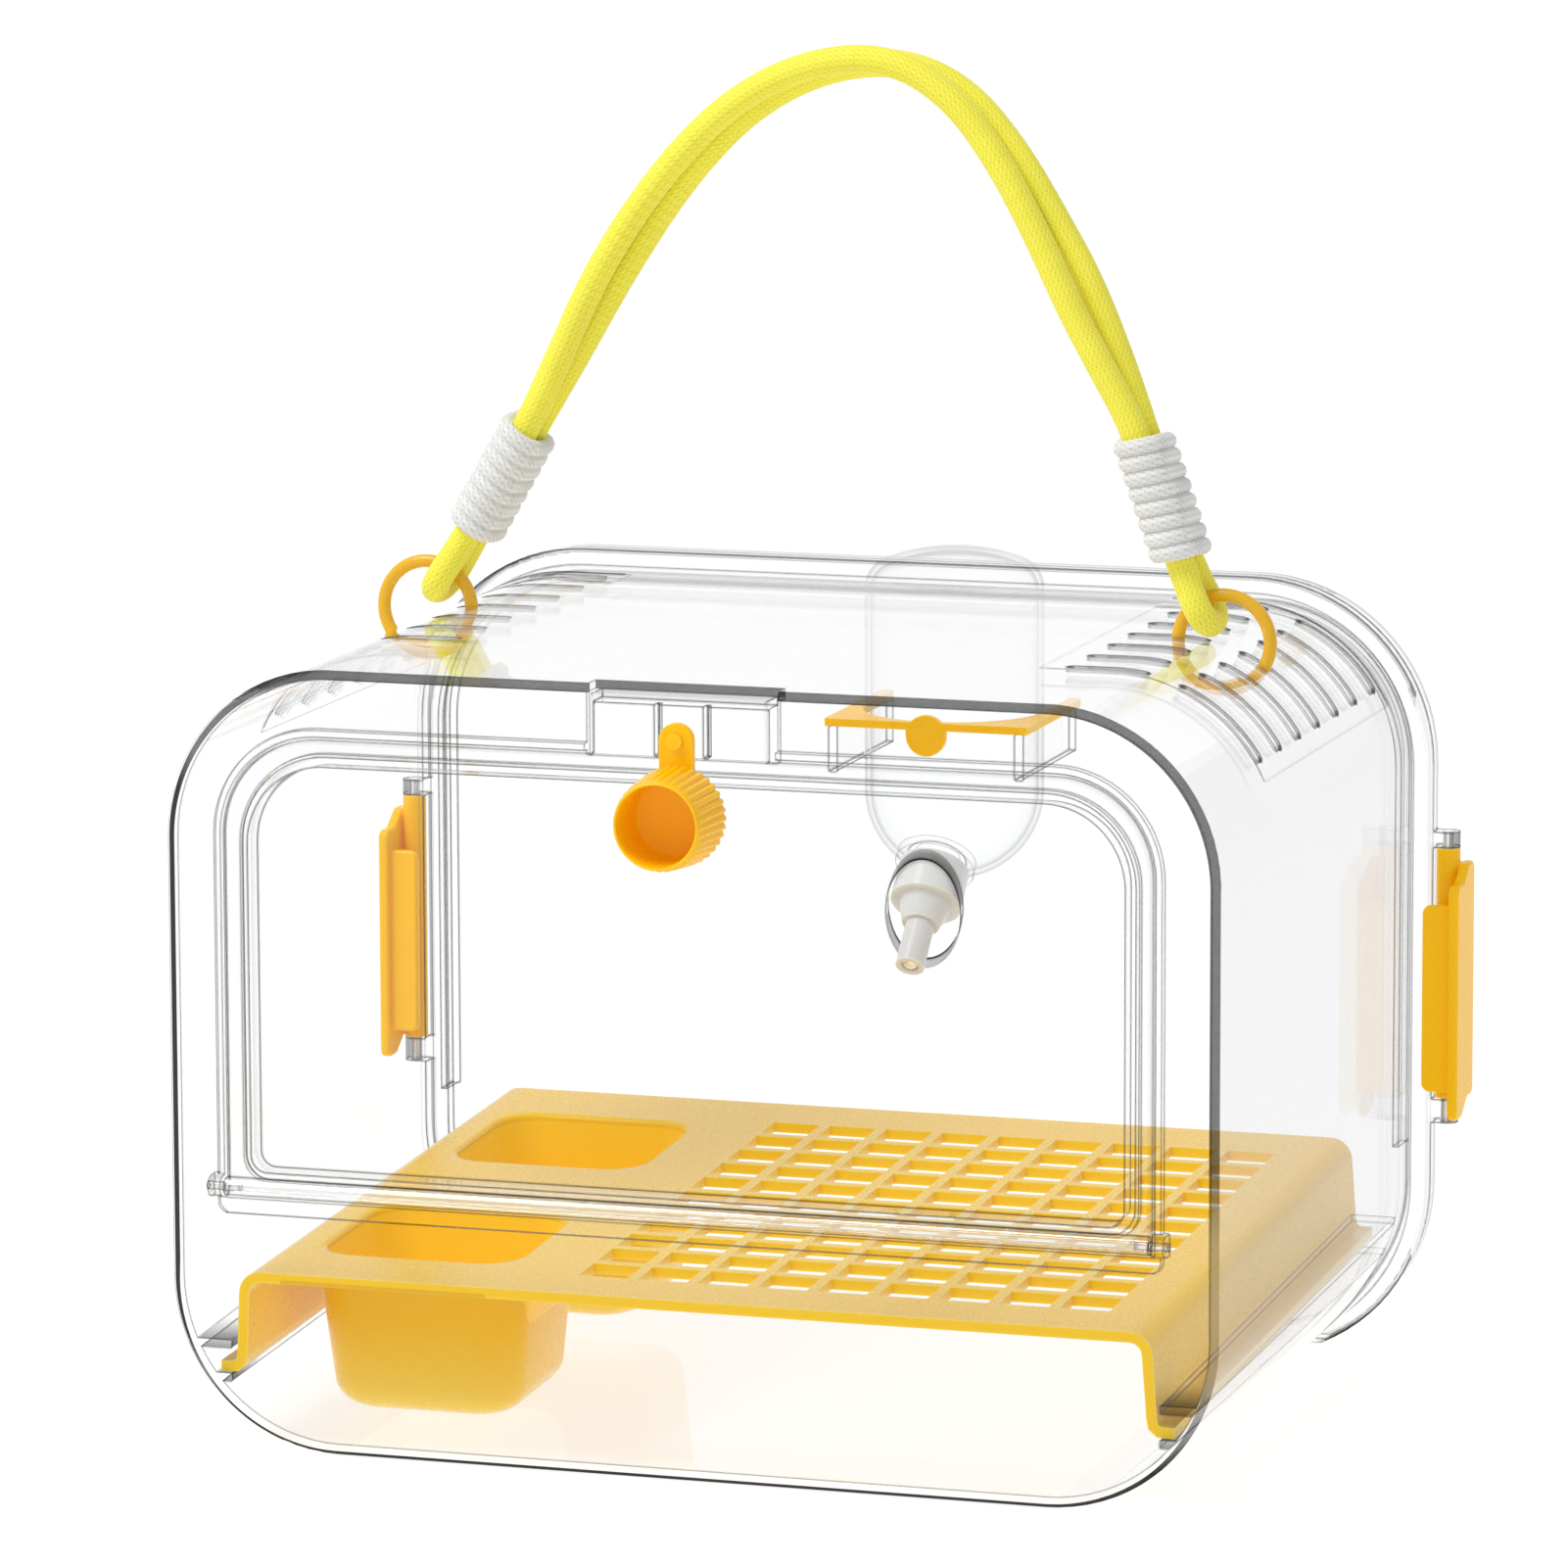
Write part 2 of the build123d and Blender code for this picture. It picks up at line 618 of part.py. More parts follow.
def tray_parts():
    """Deck, grid, skirts and cups: regions of one moulding that meet face to face."""
    under = deck_height - deck_thickness
    whole_y = (tray_front - 1, tray_rear + 1)
    cup_middle = (bowl_front_y + bowl_rear_y) / 2
    cup_x = (-deck_half_width + skirt_wall + 1, 0)
    grid_x = (grid_left - grid_bar / 2, grid_left + grid_columns * grid_pitch_x + grid_bar / 2)
    grid_y = (grid_front - grid_bar / 2, grid_front + grid_rows * grid_pitch_y + grid_bar / 2)
    grid_block = block(grid_x, grid_y, (under, deck_height))
    skirt_block = block((deck_half_width - skirt_wall - 1, side), whole_y, (0, under))
    moulding = tray_moulding()
    parts = {
        "tray_deck": (moulding & block((-side, side), whole_y, (under, body_height))) - grid_block,
        "tray_grid": moulding & grid_block,
        "tray_skirt_right": moulding & skirt_block,
        "tray_skirt_left": moulding & mirrored(skirt_block),
        "food_cup_front": moulding & block(cup_x, (whole_y[0], cup_middle), (0, under)),
        "food_cup_rear": moulding & block(cup_x, (cup_middle, whole_y[1]), (0, under)),
    }
    return {name: sloped(part) for name, part in parts.items()}


# ---- bottle -----------------------------------------------------------------
def dome_point(radius, low, top):
    """The point halfway out on a shallow dome that rises from low to top."""
    dome_radius = (radius ** 2 + (top - low) ** 2) / (2 * (top - low))
    return (radius / 2, top - dome_radius + sqrt(dome_radius ** 2 - (radius / 2) ** 2))


def bottle_form(inset):
    radius = bottle_radius - inset
    top = bottle_shoulder_height + bottle_crown - inset
    shoulder = bottle_shoulder_height + bottle_edge_rise - inset
    outline = [CenterArc((0, bottle_ball_height), radius, -90, 90),
               Line((radius, bottle_ball_height), (radius, shoulder)),
               ThreePointArc((radius, shoulder), dome_point(radius, shoulder, top), (0, top)),
               Line((0, top), (0, bottle_ball_height - radius))]
    face = make_face(outline)
    edge = face.vertices().sort_by(Axis.X)[-2:].sort_by(Axis.Y)[-1]
    face = fillet(edge, bottle_edge_radius - inset)
    half = Plane(origin=(0, bottle_y, 0), x_dir=(1, 0, 0), z_dir=(0, -1, 0)) * face
    return revolve(half, axis=Axis((0, bottle_y, 0), (0, 0, 1)))


def bottle_body():
    body = bottle_form(0)
    body += neck_tube(neck_radius, bottle_radius - 3, neck_end)
    body += neck_tube(collar_radius, bottle_radius - 1.2, bottle_radius + collar_thickness)
    body -= bottle_form(bottle_wall)
    return body - neck_tube(neck_bore, bottle_radius - 6, neck_end)


def bottle_cap():
    cap = neck_tube(cap_radius, cap_start, cap_front)
    nose = loft([on_neck(cap_front) * Circle(cap_nose_radius),
                 on_neck(cap_front + cap_nose_length) * Circle(spout_radius + 1.2)])
    cap += nose
    cap -= neck_tube(neck_radius, cap_start, cap_disc)
    return cap - neck_tube(spout_radius, cap_disc, cap_front + cap_nose_length)


def bottle_seal():
    return neck_tube(neck_radius - 0.2, neck_end, cap_disc, spout_radius)


def spout_tube():
    tube = neck_tube(spout_radius, neck_end - 4, spout_end)
    tube -= neck_tube(spout_radius - spout_wall, neck_end - 4, spout_end - 1.2)
    return tube - neck_tube(ball_lip, spout_end - 1.2, spout_end)


def spout_ball():
    """The steel ball rests inside the spout's turned-in lip."""
    seat = sqrt(ball_radius ** 2 - (ball_lip + 0.1) ** 2) + 0.15
    centre = neck_start + neck_axis * (spout_end - 1.2 - seat)
    return Pos(centre) * Sphere(ball_radius)


def bottle_cradle():
    """A flat fork round the bottle, with a thumb tongue that hangs from its front."""
    inner = bottle_radius + bracket_clearance
    outer = bottle_radius + bracket_clearance + bracket_wall + cradle_margin
    back = bottle_y + bracket_past_centre
    plate = along_z(Pos(0, (rear + back) / 2) * Rectangle(2 * outer, back - rear),
                    bracket_high, bracket_high + cradle_thickness)
    plate -= along_z(Pos(0, bottle_y) * Circle(inner), 0, deep)
    plate -= block((-inner, inner), (bottle_y, back), (0, deep))
    thumb_z = bracket_high - cradle_thumb_drop + cradle_thumb_radius
    thumb = Pos(0, thumb_z) * Circle(cradle_thumb_radius)
    thumb += Pos(0, (thumb_z + bracket_high) / 2) * Rectangle(2 * cradle_thumb_radius,
                                                              bracket_high - thumb_z)
    return plate + along_y(thumb, rear, rear + cradle_thumb_thickness)


# ---- rings and handle -------------------------------------------------------
def ring(x):
    """A wire ring through one slot, round the bar between the slots, and out again."""
    place = Plane(origin=(x, ring_y, ring_height), x_dir=(1, 0, 0), z_dir=(0, -1, 0))
    wire = place * Torus(ring_radius, ring_wire_radius)
    reach = 2 * ring_wire_radius
    slit = block((x - ring_slit / 2, x + ring_slit / 2), (ring_y - reach, ring_y + reach),
                 (ring_height - ring_radius - reach, ring_height - ring_radius + reach))
    return wire - slit


def cord_radii(points):
    """The largest arc that each corner's two runs leave room for."""
    radii = []
    for before, here, after in zip(points, points[1:], points[2:]):
        run_in, run_out = Vector(*here) - Vector(*before), Vector(*after) - Vector(*here)
        turn = radians(run_in.get_angle(run_out))
        radii.append(0.45 * min(run_in.length, run_out.length) / tan(turn / 2))
    return radii


def handle_cord():
    radii = cord_radii(cord_route)
    print("cord arc radii", [round(radius, 1) for radius in radii])
    path = FilletPolyline(*cord_route, radius=radii)
    section = Plane(origin=path @ 0, z_dir=path % 0) * Circle(cord_radius)
    cord = sweep(section, path=path)
    area = 3.14159265 * cord_radius ** 2
    print("cord length", round(path.length, 1), "volume over section times length",
          round(cord.volume / (area * path.length), 4))
    return cord


def handle_wrap(ends):
    """A sleeve round both strands, a little slimmer at its upper end."""
    low, high = Vector(*ends[0]), Vector(*ends[1])
    aim = (high - low).normalized()
    sections = []
    for place, radius in ((low, wrap_radius_low), (high, wrap_radius_high)):
        plane = Plane(origin=place, x_dir=(0, 1, 0), z_dir=aim)
        sections.append(plane * SlotCenterToCenter(strand_spacing, 2 * radius))
    sleeve = loft(sections)
    for offset in (-strand_spacing / 2, strand_spacing / 2):
        bore = Plane(origin=low + Vector(0, offset, 0), z_dir=aim) * Circle(cord_radius + wrap_clearance)
        sleeve -= extrude(bore, amount=(high - low).length)
    return sleeve


# ---- write every piece ------------------------------------------------------
pieces = {
    "main_shell": main_shell(),
    "rear_cover": rear_cover(),
    "front_door": front_door(),
    "door_hinge_pin_right": door_hinge_pin(),
    "door_hinge_pin_left": mirrored(door_hinge_pin()),
    "door_pull": door_pull(),
    "pull_pivot_pin": pull_pivot_pin(),
    "clip_right": clip(),
    "clip_left": mirrored(clip()),
    "clip_pin_right": clip_pin(),
    "clip_pin_left": mirrored(clip_pin()),
    "bottle_body": bottle_body(),
    "bottle_cap": bottle_cap(),
    "bottle_seal": bottle_seal(),
    "spout_tube": spout_tube(),
    "spout_ball": spout_ball(),
    "bottle_cradle": bottle_cradle(),
    "ring_right": ring(ring_x_right),
    "ring_left": ring(ring_x_left),
    "handle_cord": handle_cord(),
    "handle_wrap_right": handle_wrap(wrap_right),
    "handle_wrap_left": handle_wrap(wrap_left),
}
pieces.update(tray_parts())
for name, piece in pieces.items():
    export_step(piece, f"parts/{name}.step")
    print(name, "solids", len(piece.solids()), "volume", round(piece.volume, 1))
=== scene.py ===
from math import cos, pi, radians, sin

import bmesh
import bpy
from mathutils import Matrix, Vector


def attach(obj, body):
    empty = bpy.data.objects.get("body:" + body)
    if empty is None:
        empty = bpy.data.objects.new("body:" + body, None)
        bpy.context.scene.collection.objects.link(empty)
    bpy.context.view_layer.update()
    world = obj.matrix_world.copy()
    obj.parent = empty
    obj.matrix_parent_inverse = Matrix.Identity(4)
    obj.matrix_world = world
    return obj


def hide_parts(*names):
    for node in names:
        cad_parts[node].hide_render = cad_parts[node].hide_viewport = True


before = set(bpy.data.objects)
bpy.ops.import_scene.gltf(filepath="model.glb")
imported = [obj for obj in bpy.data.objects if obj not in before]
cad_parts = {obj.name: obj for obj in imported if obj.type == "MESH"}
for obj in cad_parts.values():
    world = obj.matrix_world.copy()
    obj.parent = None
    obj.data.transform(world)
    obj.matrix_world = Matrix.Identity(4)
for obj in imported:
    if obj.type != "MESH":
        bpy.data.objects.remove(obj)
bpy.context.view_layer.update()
mm = 0.001


# ---- Camera ----
# Long lens a little above the roof, turned towards the right-hand side.
camera_azimuth = radians(17.858)
camera_elevation = radians(9.535)
camera_roll = radians(-0.18)
camera_target = Vector((0, -0.015, 0.100))
camera_distance = 2.3847
camera_shift_left, camera_shift_up = 0.00217, 0.06512
back = Vector((sin(camera_azimuth) * cos(camera_elevation),
               -cos(camera_azimuth) * cos(camera_elevation), sin(camera_elevation)))
level_right = Vector((cos(camera_azimuth), sin(camera_azimuth), 0))
level_up = back.cross(level_right)
right = level_right * cos(camera_roll) + level_up * sin(camera_roll)
up = level_up * cos(camera_roll) - level_right * sin(camera_roll)

camera_data = bpy.data.cameras.new("camera")
camera_data.sensor_width = 36.0
camera_data.lens = 208.625
camera_data.clip_end = 30.0
camera = bpy.data.objects.new("camera", camera_data)
camera_place = (camera_target + back * camera_distance
                - right * camera_shift_left + up * camera_shift_up)
camera.matrix_world = Matrix((
    (right.x, up.x, back.x, camera_place.x),
    (right.y, up.y, back.y, camera_place.y),
    (right.z, up.z, back.z, camera_place.z),
    (0, 0, 0, 1)))
bpy.context.scene.collection.objects.link(camera)
bpy.context.scene.camera = camera


# ---- Handle rope ----
# One braided polyester rope laid double: its two ends are bound inside the
# left-hand wrap, and its two loops pass under the wires of the amber rings.
rope_diameter = 7.5 * mm
rope_route = [
    (-90.8, 13.6, 239.2), (-82.0, 13.6, 254.5), (-73.8, 13.9, 272.0), (-62.5, 14.1, 296.4),
    (-45.0, 14.3, 322.0), (-25.2, 14.2, 341.8), (-2.9, 13.8, 352.6), (19.0, 13.6, 353.9),
    (35.5, 14.0, 343.9), (47.5, 14.3, 328.0), (58.0, 14.3, 308.9), (67.0, 14.1, 289.8),
    (76.4, 13.8, 273.4), (84.9, 13.6, 258.7), (97.2, 13.6, 223.8), (104.5, 9.6, 208.6),
    (104.5, 25.4, 208.6), (97.2, 21.4, 223.8), (84.9, 21.4, 258.7), (78.6, 21.2, 276.6),
    (70.5, 20.9, 296.2), (62.0, 20.7, 311.1), (50.5, 20.7, 330.0), (36.5, 21.0, 345.7),
    (19.0, 21.4, 352.7), (-2.1, 21.2, 350.2), (-22.8, 20.8, 339.2), (-41.0, 20.7, 320.0),
    (-57.5, 20.9, 295.6), (-71.2, 21.1, 272.0), (-82.0, 21.4, 254.5), (-99.5, 21.4, 224.0),
    (-109.4, 25.4, 208.6), (-109.4, 9.6, 208.6), (-99.5, 13.6, 224.0), (-91.4, 13.6, 238.1),
]


def place_object(name, mesh_builder):
    """An object in the scene from a bmesh, which it uses up."""
    mesh = bpy.data.meshes.new(name)
    mesh_builder.to_mesh(mesh)
    mesh_builder.free()
    placed = bpy.data.objects.new(name, mesh)
    bpy.context.scene.collection.objects.link(placed)
    return placed


def route_points(name, route, steps):
    """The smooth line of a route's NURBS spline, as a list of points."""
    curve = bpy.data.curves.new(name, "CURVE")
    curve.dimensions = "3D"
    curve.resolution_u = steps
    spline = curve.splines.new("NURBS")
    spline.points.add(len(route) - 1)
    for point, place in zip(spline.points, route):
        point.co = (*[value * mm for value in place], 1)
    spline.order_u = 3
    spline.use_endpoint_u = True
    line = bpy.data.objects.new(name, curve)
    mesh = bpy.data.meshes.new_from_object(line)
    points = [vertex.co.copy() for vertex in mesh.vertices]
    bpy.data.objects.remove(line)
    return points


def braided_tube(name, points, radius, around, carriers, pitch, depth, upright=None, flatness=1.0):
    """A plaited cord swept along points; its strand attribute is 1 on the crowns.

    upright, where it is given, holds one side of the cord in that direction,
    and flatness is then the cord's thickness over its width."""
    tube_builder = bmesh.new()
    uv_layer = tube_builder.loops.layers.uv.new("UVMap")
    strand_layer = tube_builder.verts.layers.float.new("strand")
    side = Vector((0, 1, 0))
    rings, lengths, travelled = [], [], 0.0
    for index, point in enumerate(points):
        before, after = points[max(index - 1, 0)], points[min(index + 1, len(points) - 1)]
        aim = (after - before).normalized()
        side = upright or side
        side = (side - aim * side.dot(aim)).normalized()
        other = aim.cross(side)
        if index:
            travelled += (point - points[index - 1]).length
        ring = []
        for step in range(around):
            share = step / around
            left_hand = cos(2 * pi * (share * carriers + travelled / pitch))
            right_hand = cos(2 * pi * (share * carriers - travelled / pitch))
            crown = 0.5 + 0.5 * max(left_hand, right_hand)
            reach = radius + depth * (crown - 1)
            offset = side * cos(2 * pi * share) + other * sin(2 * pi * share) * flatness
            corner = tube_builder.verts.new(point + offset * reach)
            corner[strand_layer] = crown
            ring.append(corner)
        rings.append(ring)
        lengths.append(travelled)
    for index in range(len(rings) - 1):
        low, high = rings[index], rings[index + 1]
        for step in range(around):
            following = (step + 1) % around
            face = tube_builder.faces.new((low[step], low[following], high[following], high[step]))
            face.smooth = True
            places = ((step, index), (step + 1, index), (step + 1, index + 1), (step, index + 1))
            for loop, (column, row) in zip(face.loops, places):
                loop[uv_layer].uv = (column / around, lengths[row] / (2 * pi * radius))
    for ring in (rings[0][::-1], rings[-1]):
        tube_builder.faces.new(ring)
    return place_object(name, tube_builder), travelled


def add_node(tree, kind, values=None, **settings):
    """A shader node with its settings, and its inputs' values or the sockets that feed them."""
    node = tree.nodes.new("ShaderNode" + kind)
    for setting, value in settings.items():
        setattr(node, setting, value)
    for socket, value in (values or {}).items():
        if isinstance(value, bpy.types.NodeSocket):
            tree.links.new(value, node.inputs[socket])
        else:
            node.inputs[socket].default_value = value
    return node


def math_node(tree, operation, *values, clamp=False):
    """The result socket of one sum on values or sockets."""
    node = add_node(tree, "Math", dict(enumerate(values)), operation=operation, use_clamp=clamp)
    return node.outputs[0]


def range_node(tree, value, start, end, first=0.0, last=1.0):
    """The socket that goes from first to last while a value goes from start to end."""
    return add_node(tree, "MapRange", {0: value, 1: start, 2: end, 3: first, 4: last}).outputs[0]


def new_group(name, inputs, outputs):
    """An empty shader node group, its input sockets and its output node."""
    group = bpy.data.node_groups.new(name, "ShaderNodeTree")
    for label, kind, value in inputs:
        socket = group.interface.new_socket(label, in_out="INPUT", socket_type="NodeSocket" + kind)
        socket.default_value = value
    for label, kind in outputs:
        group.interface.new_socket(label, in_out="OUTPUT", socket_type="NodeSocket" + kind)
    entry = group.nodes.new("NodeGroupInput")
    return group, entry.outputs, group.nodes.new("NodeGroupOutput")


def use_group(tree, group, values):
    """A group placed in a material with its own values."""
    node = tree.nodes.new("ShaderNodeGroup")
    node.node_tree = group
    for socket, value in values.items():
        node.inputs[socket].default_value = value
    return node


def new_material(name, values):
    """A material whose Principled shader has these plain values."""
    made = bpy.data.materials.new(name)
    made.use_nodes = True
    shader = made.node_tree.nodes["Principled BSDF"]
    for socket, value in values.items():
        shader.inputs[socket].default_value = value
    return made, made.node_tree, shader


def colour_mix(tree, share, first, second):
    """The colour socket of a mix of two colours."""
    node = add_node(tree, "Mix", data_type="RGBA")
    for socket, value in ((0, share), (6, first), (7, second)):
        if isinstance(value, bpy.types.NodeSocket):
            tree.links.new(value, node.inputs[socket])
        else:
            node.inputs[socket].default_value = value
    return node.outputs[2]


# Yarn of a plaited cover: painted shade in the gaps between strands, with fine fibres.
yarn, yarn_in, yarn_out = new_group(
    "plaited_yarn",
    [("Crown", "Color", (1, 1, 1, 1)), ("Shaded Gap", "Color", (0, 0, 0, 1))],
    [("Color", "Color"), ("Height", "Float")])
crown_mask = add_node(yarn, "Attribute", attribute_name="strand").outputs["Fac"]
crown_share = math_node(yarn, "POWER", crown_mask, 0.8)
place = add_node(yarn, "TexCoord").outputs["Object"]
fibres = add_node(yarn, "TexNoise", {"Vector": place, "Scale": 2600.0, "Detail": 2.0}).outputs[0]
drift = add_node(yarn, "TexNoise", {"Vector": place, "Scale": 45.0, "Detail": 2.0}).outputs[0]
yarn_colour = colour_mix(yarn, crown_share, yarn_in["Shaded Gap"], yarn_in["Crown"])
shade = range_node(yarn, drift, 0.0, 1.0, 0.93, 1.05)
shaded = add_node(yarn, "VectorMath", {0: yarn_colour}, operation="SCALE")
yarn.links.new(shade, shaded.inputs["Scale"])
yarn.links.new(shaded.outputs[0], yarn_out.inputs["Color"])
fibre_height = math_node(yarn, "MULTIPLY_ADD", fibres, 0.5, crown_mask)
yarn.links.new(fibre_height, yarn_out.inputs["Height"])


def yarn_material(name, crown, shaded_gap):
    """Plaited yarn in one colour on the crowns and a darker one, painted shade, in the gaps."""
    made, tree, shader = new_material(name, {"Roughness": 0.72, "Sheen Weight": 0.25,
                                             "Sheen Roughness": 0.4, "Specular IOR Level": 0.3})
    cover = use_group(tree, yarn, {"Crown": (*crown, 1), "Shaded Gap": (*shaded_gap, 1)})
    relief = add_node(tree, "Bump", {"Height": cover.outputs["Height"], "Strength": 0.35,
                                     "Distance": 0.25 * mm})
    tree.links.new(cover.outputs["Color"], shader.inputs["Base Color"])
    tree.links.new(relief.outputs[0], shader.inputs["Normal"])
    return made


rope_points = route_points("rope_line", rope_route, steps=40)
rope, rope_length = braided_tube("handle_rope", rope_points, radius=rope_diameter / 2, around=48,
                                 carriers=16, pitch=1.9 * mm, depth=0.20 * mm)
# The rope's gap colour is painted shade between its strands.
rope.data.materials.append(yarn_material("lemon_braid", crown=(0.98, 0.95, 0.10),
                                         shaded_gap=(0.78, 0.62, 0.02)))
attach(rope, "handle")
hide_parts("handle_cord")


# ---- Bindings ----
# White plaited cord wound eight times round both strands of the rope and pulled
# tight, so that each turn is flattened; the ends are tucked under.
winding_width = 4.5 * mm
winding_thickness = 4.2 * mm
winding_standoff = winding_thickness * 0.42
winding_inset = winding_width * 0.45
tuck_depth, tuck_share = winding_thickness * 0.45, 1 / 8
strand_spacing = 7.8 * mm
straightness = 1.5
binding_ends = {
    "left": (Vector((-99.5, 17.5, 224.0)) * mm, Vector((-82.0, 17.5, 254.5)) * mm),
    "right": (Vector((97.2, 17.5, 223.8)) * mm, Vector((84.9, 17.5, 258.7)) * mm),
}
# The binding's gap colour is painted shade in the seams between its strands.
binding_white = yarn_material("white_braid", crown=(0.88, 0.88, 0.86), shaded_gap=(0.50, 0.50, 0.47))


def winding_points(low, high, turns, steps):
    """A flat helix round the two strands, tucked in at both ends."""
    axis = (high - low).normalized()
    across = Vector((0, 1, 0))
    outward = across.cross(axis)
    reach = rope_diameter / 2 + winding_standoff
    start, end = low + axis * winding_inset, high - axis * winding_inset
    points = []
    for step in range(turns * steps + 1):
        turn = 2 * pi * step / steps
        share = step / (turns * steps)
        from_end = min(share, 1 - share) * turns / tuck_share
        near = reach - tuck_depth * max(0.0, 1 - from_end)
        flat_side = max(-1.0, min(1.0, straightness * cos(turn)))
        sideways = across * (flat_side * strand_spacing / 2 + near * cos(turn))
        points.append(start.lerp(end, share) + sideways + outward * near * sin(turn))
    return points, axis


for side_name, (low, high) in binding_ends.items():
    turns = round((high - low).length / winding_width)
    points, axis = winding_points(low, high, turns, steps=72)
    binding, _ = braided_tube("binding_" + side_name, points, radius=winding_width / 2, around=24,
                              carriers=8, pitch=2.0 * mm, depth=0.20 * mm, upright=axis,
                              flatness=winding_thickness / winding_width)
    binding.data.materials.append(binding_white)
    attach(binding, "handle")
    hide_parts("handle_wrap_" + side_name)


# ---- Clear shell, rear cover and front door ----
# Three thin clear polystyrene mouldings: a round-cornered box, a cover that plugs
# into its rear, and a flanged door that turns on two short pins in the frame's ears.


def finish_nodes(names, material):
    """Give CAD nodes their finished material."""
    for name in names:
        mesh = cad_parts[name].data
        mesh.materials.clear()
        mesh.materials.append(material)


def ramp_node(tree, value, stops):
    """The value socket of a grey ramp through (position, level) stops."""
    ramp = add_node(tree, "ValToRGB", {0: value})
    elements = ramp.color_ramp.elements
    elements[0].position, elements[1].position = stops[0][0], stops[-1][0]
    for position, _ in stops[1:-1]:
        elements.new(position)
    for element, (_, level) in zip(elements, stops):
        element.color = (level, level, level, 1)
    return ramp.outputs[0]


def object_parts(tree, kind):
    """The X, Y and Z sockets of the object's own place or normal."""
    whole = add_node(tree, "TexCoord").outputs[kind]
    return add_node(tree, "SeparateXYZ", {0: whole}).outputs


def product(tree, *values):
    """The socket of several values multiplied together."""
    result = values[0]
    for value in values[1:]:
        result = math_node(tree, "MULTIPLY", result, value)
    return result


def largest(tree, *values):
    """The socket of the largest of several values."""
    result = values[0]
    for value in values[1:]:
        result = math_node(tree, "MAXIMUM", result, value)
    return result


def above(tree, value, limit):
    """The socket that is 1 where a value is over a limit."""
    return math_node(tree, "GREATER_THAN", value, limit)


def below(tree, value, limit):
    """The socket that is 1 where a value is under a limit."""
    return math_node(tree, "LESS_THAN", value, limit)


def between(tree, value, low, high):
    """The socket that is 1 while a value lies between two limits."""
    return math_node(tree, "COMPARE", value, (low + high) / 2, (high - low) / 2)


# How near a sharp edge a place lies: 1 on the edge, 0 beyond the given width.
edges, edges_in, edges_out = new_group(
    "edge_nearness", [("Width", "Float", 1.0 * mm), ("Gain", "Float", 3.0)], [("Mask", "Float")])
rounded = add_node(edges, "Bevel", samples=6)
edges.links.new(edges_in["Width"], rounded.inputs["Radius"])
true_normal = add_node(edges, "NewGeometry").outputs["Normal"]
agreement = add_node(edges, "VectorMath", {0: rounded.outputs[0], 1: true_normal},
                     operation="DOT_PRODUCT").outputs["Value"]
bend = math_node(edges, "SUBTRACT", 1.0, math_node(edges, "ABSOLUTE", agreement))
edges.links.new(math_node(edges, "MULTIPLY", bend, edges_in["Gain"], clamp=True),
                edges_out.inputs["Mask"])


# Where a clear wall turns away it bends light sideways and looks dark: bands on
# the rounded edges of a flange, set by how squarely a place faces front or rear.
turned, turned_in, turned_out = new_group("turned_edge", [("Strength", "Float", 1.0)],
                                          [("Mask", "Float")])
slant = math_node(turned, "ABSOLUTE", object_parts(turned, "Normal")["Y"])
bands = ramp_node(turned, slant, [(0.0, 0.0), (0.055, 0.0), (0.09, 0.75), (0.50, 0.85),
                                  (0.70, 0.75), (0.80, 0.35), (0.85, 0.15), (0.92, 0.6),
                                  (0.975, 0.0)])
turned.links.new(math_node(turned, "MULTIPLY", bands, turned_in["Strength"]),
                 turned_out.inputs["Mask"])


# The shell's own lines, painted shade and a painted reflection: how dark a place is, how much
# of its edges and bands shows, and the white veil of mirror that the shoulders carry.
line_outputs = [("Mask", "Float"), ("Edges", "Float"), ("Bands", "Float"), ("Painted Reflection", "Float")]
shell_lines, _, shell_lines_out = new_group("shell_lines", [], line_outputs)
x, y, z = object_parts(shell_lines, "Object")
normal_x, normal_y, _ = object_parts(shell_lines, "Normal")
off_centre = math_node(shell_lines, "ABSOLUTE", x)
facing_side = math_node(shell_lines, "ABSOLUTE", normal_x)
facing_front = math_node(shell_lines, "ABSOLUTE", normal_y)

# How deep a place lies inside the round-cornered outline of the box.
body_half_width, body_half_height, body_corner = 140 * mm, 102.5 * mm, 45 * mm
past_x = math_node(shell_lines, "SUBTRACT", off_centre, body_half_width - body_corner)
above_middle = math_node(shell_lines, "SUBTRACT", z, body_half_height)
past_z = math_node(shell_lines, "SUBTRACT", math_node(shell_lines, "ABSOLUTE", above_middle),
                   body_half_height - body_corner)
corner_x = math_node(shell_lines, "MAXIMUM", past_x, 0.0)
corner_z = math_node(shell_lines, "MAXIMUM", past_z, 0.0)
squares = math_node(shell_lines, "ADD", product(shell_lines, corner_x, corner_x),
                    product(shell_lines, corner_z, corner_z))
flat_part = math_node(shell_lines, "MINIMUM", largest(shell_lines, past_x, past_z), 0.0)
reach = math_node(shell_lines, "ADD", math_node(shell_lines, "SQRT", squares), flat_part)
skin_depth = math_node(shell_lines, "SUBTRACT", body_corner, reach)
skin = 1.5 * mm
in_skin = below(shell_lines, skin_depth, skin)

# Painted shade in a band along the front edge: pale beside the tray, darker above it, and
# black at the left and below. At the left it starts deeper, behind a thin line of its own.
front_skin, edge_round = -102.75 * mm, 2.6 * mm
band_near, band_far = 0.05 * mm, 2.3 * mm
left_band_shift, left_band_growth, low_band_growth = 0.95 * mm, 0.2 * mm, -1.0 * mm
front = below(shell_lines, y, front_skin)
left_share = range_node(shell_lines, x, -136 * mm, -112 * mm, 1.0, 0.0)
low_share = range_node(shell_lines, z, 12 * mm, 50 * mm, 1.0, 0.0)
over_tray = range_node(shell_lines, z, 62 * mm, 92 * mm, 0.32, 0.80)
dark_sides = product(shell_lines, largest(shell_lines, left_share, low_share), 0.97)
band_start = math_node(shell_lines, "MULTIPLY_ADD", left_share, left_band_shift, band_near)
